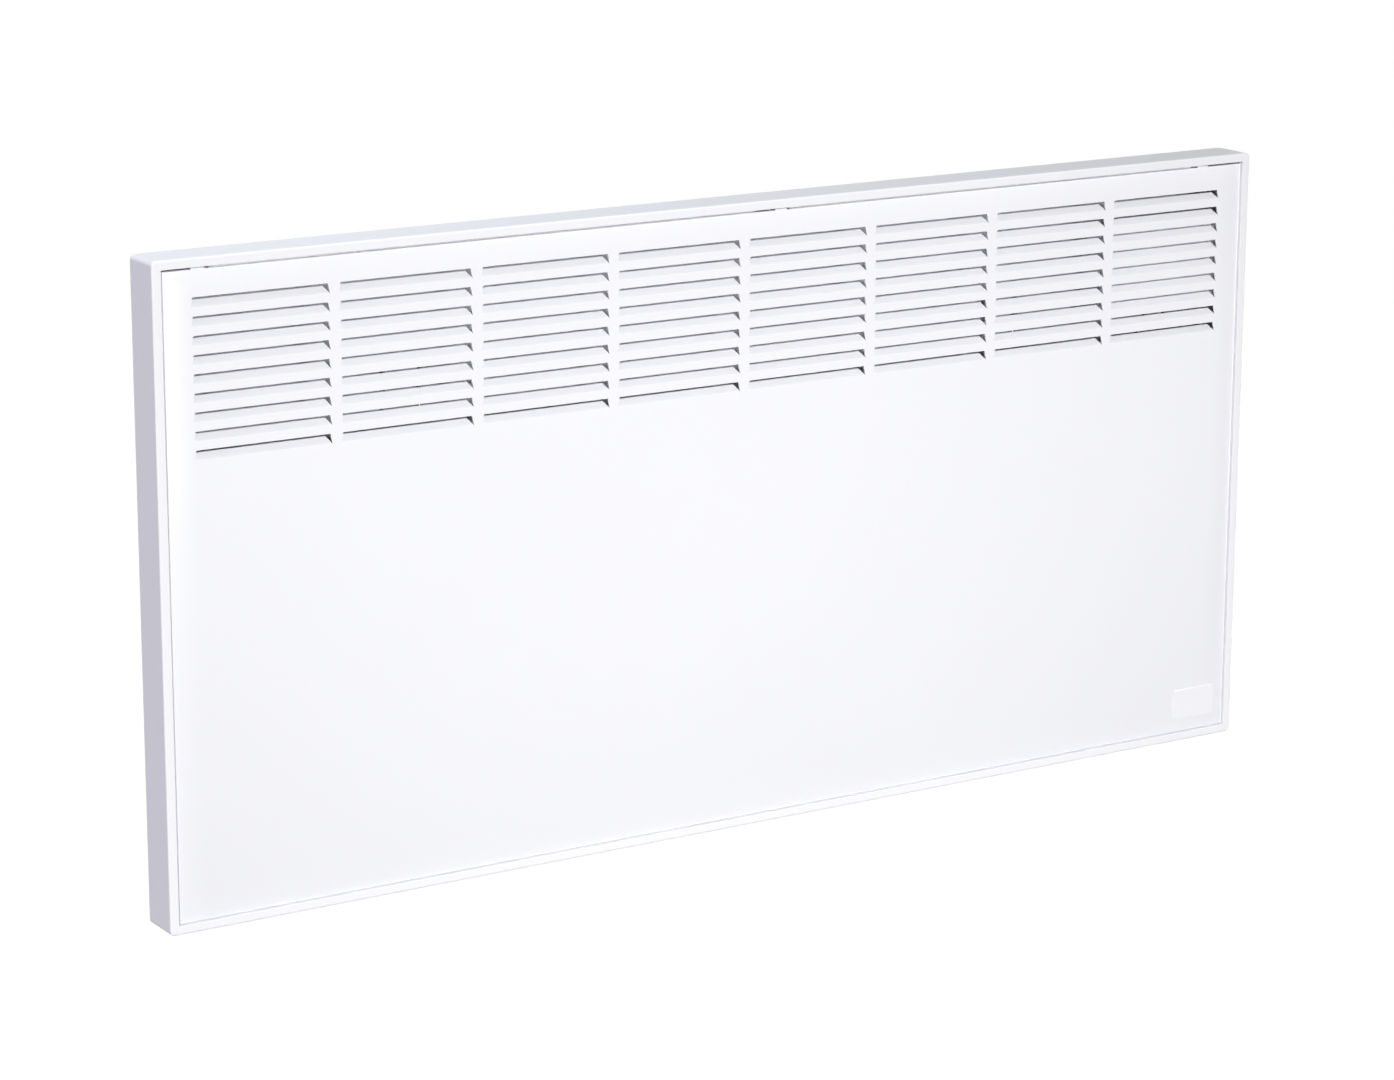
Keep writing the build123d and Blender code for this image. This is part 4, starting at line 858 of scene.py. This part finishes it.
# ---------------------------------------------------------------- thermostat knob and dial
GRIP_RIB_RADIUS = 0.6 * MM
GRIP_RADIUS = KNOB_RADIUS - GRIP_RIB_RADIUS
KNOB_WELL_RADIUS = 7 * MM
KNOB_WELL_DEPTH = 4 * MM
KNOB_DISH_RADIUS = 5.6 * MM
KNOB_SIDES = 96
GRIP_RIB_SIDES = 10

sideways = Matrix.Rotation(pi / 2, 4, "Y")
knob_axis = Matrix.Translation(place(0, POCKET_OUT, KNOB_Z)) @ sideways

knob = lathed(
    "dial_knob",
    [
        # the well behind
        (0, KNOB_BACK + KNOB_WELL_DEPTH),
        (KNOB_WELL_RADIUS, KNOB_BACK + KNOB_WELL_DEPTH),
        (KNOB_WELL_RADIUS, KNOB_BACK),
        # the skirt, as wide as the ribs
        (KNOB_RADIUS - 0.2 * MM, KNOB_BACK),
        (KNOB_RADIUS, KNOB_BACK + 0.3 * MM),
        (KNOB_RADIUS, KNOB_BACK + 1.2 * MM),
        # the grip and its rounded shoulder
        (GRIP_RADIUS, KNOB_BACK + 1.6 * MM),
        (GRIP_RADIUS, KNOB_FACE - 1.2 * MM),
        (GRIP_RADIUS - 0.3 * MM, KNOB_FACE - 0.45 * MM),
        (GRIP_RADIUS - 1.0 * MM, KNOB_FACE - 0.1 * MM),
        (GRIP_RADIUS - 1.8 * MM, KNOB_FACE - 0.02 * MM),
        # the face, slightly dished
        (KNOB_DISH_RADIUS, KNOB_FACE - 0.02 * MM),
        (KNOB_DISH_RADIUS - 0.4 * MM, KNOB_FACE - 0.15 * MM),
        (0, KNOB_FACE - 0.25 * MM),
    ],
    KNOB_SIDES,
    knob_axis,
)
knob.data.materials.append(FINISHES["knob_plastic"])
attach(knob, "knob")
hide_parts("thermostat_knob")


def knob_grips():
    """Rounded ribs around the knob's side."""
    tree = Former(
        "knob_grips",
        {
            "Ribs": 24,
            "Ring Radius": GRIP_RADIUS,
            "Rib Radius": GRIP_RIB_RADIUS,
            "Start": KNOB_BACK + 1.3 * MM,
            "End": KNOB_FACE - 1.4 * MM,
        },
    )
    ring = tree.size("Ring Radius")
    rib = tree.round_bar(
        tree.vector(ring, 0.0, tree.size("Start")),
        tree.vector(ring, 0.0, tree.size("End")),
        tree.size("Rib Radius"),
        GRIP_RIB_SIDES,
    )
    ribs = tree.around(tree.shaded(rib, True), tree.size("Ribs"))
    laid = tree.turned(ribs, place(0, POCKET_OUT, KNOB_Z), (0, pi / 2, 0))
    tree.finish(laid, FINISHES["knob_plastic"])
    return formed(tree, "knob_grips")


grips = knob_grips()
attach(grips, "knob")

# The pointer is a printed bar on the knob's face. The numbers run clockwise from the top, and each
# has its turn from there in degrees and its distance from the knob's axis in millimetres. A number
# wide of the pocket is printed on the bezel, and the others on the pocket's floor.
POINTER_HEIGHT = 6.2 * MM
POINTER_FROM_AXIS = 5.3 * MM
POINTER_SINK = 0.04 * MM
DIAL_HEIGHT = 2.4 * MM
PRINT_RISE = 0.03 * MM
POCKET_HALF_WIDTH = 10 * MM
DIAL = (
    (0, 0, 11.5),
    (1, 54, 14.4),
    (2, 108, 12.4),
    (3, 162, 11.5),
    (4, 216, 11.5),
    (5, 270, 11.75),
)

facing_right = Matrix(((0, 0, 1, 0), (1, 0, 0, 0), (0, 1, 0, 0), (0, 0, 0, 1)))


def on_right_side(x, out, z):
    """A place on the right-hand side of the heater, for marks read from that side."""
    return Matrix.Translation(place(x, out, z)) @ facing_right


pointer_spot = on_right_side(KNOB_FACE - POINTER_SINK, POCKET_OUT, KNOB_Z + POINTER_FROM_AXIS)
pointer = printed("knob_pointer", [("I", POINTER_HEIGHT, pointer_spot)], dial_ink)
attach(pointer, "knob")

dial_marks = []
for number, turn, reach in DIAL:
    off_axis = reach * MM * sin(radians(turn))
    mark_z = KNOB_Z + reach * MM * cos(radians(turn))
    on_bezel = abs(off_axis) > POCKET_HALF_WIDTH
    mark_x = (BEZEL_FACE if on_bezel else POCKET_FLOOR) + PRINT_RISE
    mark_spot = on_right_side(mark_x, POCKET_OUT - off_axis, mark_z)
    dial_marks.append((str(number), DIAL_HEIGHT, mark_spot))
dial = printed("dial_numbers", dial_marks, dial_ink)
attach(dial, "heater")


# ---------------------------------------------------------------- rocker marks
ROCKER_MARK_HEIGHT = 3.2 * MM
ROCKER_FACE_HEIGHT = 5.13 * MM
ROCKER_MARK_RISE = 3.8 * MM
ROCKER_FACE_LEAN = radians(13.3)


def on_rocker(height, rise, lean):
    """A place over the rocker's pivot, outwards and upwards in the rocker's own tilt, and leaning
    with one of its two faces."""
    outward = Vector((cos(ROCKER_TILT), 0, sin(ROCKER_TILT)))
    upward = Vector((-sin(ROCKER_TILT), 0, cos(ROCKER_TILT)))
    pivot = place(ROCKER_PIVOT_X, POCKET_OUT, ROCKER_Z)
    spot = pivot + outward * height + upward * rise
    tipped = Matrix.Rotation(-ROCKER_TILT + lean, 4, "Y")
    return Matrix.Translation(spot) @ tipped @ facing_right


upper_spot = on_rocker(ROCKER_FACE_HEIGHT, ROCKER_MARK_RISE, ROCKER_FACE_LEAN)
lower_spot = on_rocker(ROCKER_FACE_HEIGHT, -ROCKER_MARK_RISE, -ROCKER_FACE_LEAN)
rocker_marks = printed(
    "rocker_marks",
    [("I", ROCKER_MARK_HEIGHT, upper_spot), ("O", ROCKER_MARK_HEIGHT, lower_spot)],
    rocker_ink,
)
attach(rocker_marks, "rocker")


# ---------------------------------------------------------------- camera
# It stands to the left of the heater and above it, looks to the right of the wall's normal by the
# heading and down by the dip, and is rolled a trace about its own axis.
CAMERA_SPOT = (-1.5339, -2.3864, 0.6714)
CAMERA_HEADING = radians(32.732)
CAMERA_DIP = radians(13.839)
CAMERA_ROLL = radians(0.196)
SENSOR_WIDTH_MM = 36.0
LENS_MM = 105.33

camera_data = bpy.data.cameras.new("camera")
camera_data.sensor_width = SENSOR_WIDTH_MM
camera_data.lens = LENS_MM
camera = bpy.data.objects.new("camera", camera_data)
scene.collection.objects.link(camera)
camera.matrix_world = (
    Matrix.Translation(CAMERA_SPOT)
    @ Matrix.Rotation(-CAMERA_HEADING, 4, "Z")
    @ Matrix.Rotation(pi / 2 - CAMERA_DIP, 4, "X")
    @ Matrix.Rotation(CAMERA_ROLL, 4, "Z")
)
scene.camera = camera


# ---------------------------------------------------------------- studio
WARM_WHITE = (1.0, 0.997, 0.99)
SOFT_WHITE = (1.0, 0.99, 0.98)
SKY_BLUE = (0.86, 0.92, 1.0)
VIOLET = (0.90, 0.85, 1.0)
AMBIENT_COLOUR = (0.90, 0.89, 1.0, 1.0)
AMBIENT_STRENGTH = 0.08
WHITE = (1.0, 1.0, 1.0, 1.0)
FLOOR_RADIUS = 14.0
FLOOR_SIDES = 64
FLOOR_LEVEL = -2.4
FLOOR_GREY = (0.7, 0.7, 0.7)
FLOOR_GLOW = 0.92


def soft_light(name, spot, target, width, power, colour, fan=180):
    """A round lamp at a spot, aimed at a target, that shines inside a fan of so many degrees."""
    data = bpy.data.lights.new(name, "AREA")
    data.shape = "DISK"
    data.size = width
    data.spread = radians(fan)
    data.energy = power
    data.color = colour
    light = bpy.data.objects.new(name, data)
    scene.collection.objects.link(light)
    light.location = spot
    light.rotation_euler = (Vector(target) - Vector(spot)).to_track_quat("-Z", "Y").to_euler()


soft_light(
    "front_softbox",
    spot=(-1.25, -3.75, 1.85),
    target=(0.2, 0, -0.5),
    width=1.2,
    power=21.5,
    colour=WARM_WHITE,
    fan=68,
)
soft_light(
    "low_softbox",
    spot=(0.1, -4.3, -0.3),
    target=(0, 0, -0.6),
    width=1.0,
    power=9.6,
    colour=WARM_WHITE,
    fan=68,
)
soft_light(
    "overhead_softbox",
    spot=(-0.5, 0.1, 1.1),
    target=(-0.3, 0, 0.2),
    width=0.5,
    power=4.8,
    colour=SKY_BLUE,
)
soft_light(
    "left_softbox",
    spot=(-3.1, 0.5, -0.4),
    target=(-0.45, 0, -0.1),
    width=0.9,
    power=27.0,
    colour=VIOLET,
)
soft_light(
    "rear_softbox",
    spot=(2.5, 2.6, -0.8),
    target=(0, 0, 0),
    width=2.2,
    power=12.5,
    colour=SOFT_WHITE,
    fan=60,
)

# The camera, reflections and clear parts see a white backdrop. Matt faces get a faint light of it.
world = bpy.data.worlds.new("studio")
scene.world = world
world.use_nodes = True
sky = Tree(world.node_tree)
world.node_tree.nodes.clear()
rays = sky.add("ShaderNodeLightPath")
seen = sky.most(
    Sum(sky, rays.outputs["Is Camera Ray"]),
    sky.most(
        Sum(sky, rays.outputs["Is Glossy Ray"]), Sum(sky, rays.outputs["Is Transmission Ray"])
    ),
)
ambient = sky.add(
    "ShaderNodeBackground", {"Color": AMBIENT_COLOUR, "Strength": AMBIENT_STRENGTH}
)
backdrop = sky.add("ShaderNodeBackground", {"Color": WHITE, "Strength": 1.0})
choice = sky.add("ShaderNodeMixShader", {0: seen, 1: ambient.outputs[0], 2: backdrop.outputs[0]})
sky.add("ShaderNodeOutputWorld", {"Surface": choice.outputs[0]})

floor_mesh = bpy.data.meshes.new("studio_floor")
floor_bm = bmesh.new()
bmesh.ops.create_circle(floor_bm, cap_ends=True, segments=FLOOR_SIDES, radius=FLOOR_RADIUS)
bmesh.ops.translate(floor_bm, verts=floor_bm.verts, vec=(0, 0, FLOOR_LEVEL))
floor_bm.to_mesh(floor_mesh)
floor_bm.free()
floor = bpy.data.objects.new("studio_floor", floor_mesh)
scene.collection.objects.link(floor)
floor_finish = Finish("studio_floor_paint", FLOOR_GREY, roughness=0.8)
floor_drift = floor_finish.noise(scale=3.0, detail=2.0)
floor_finish.paint(floor_finish.tint(floor_drift, darker=0.995, lighter=1.005))
path = floor_finish.add("ShaderNodeLightPath")
shown = floor_finish.most(
    Sum(floor_finish, path.outputs["Is Camera Ray"]),
    Sum(floor_finish, path.outputs["Is Glossy Ray"]),
)
floor_finish.fix(Emission_Color=WHITE)
floor_finish.feed(floor_finish.shader.inputs["Emission Strength"], shown * FLOOR_GLOW)
floor_mesh.materials.append(floor_finish.material)

scene.view_settings.view_transform = "Standard"
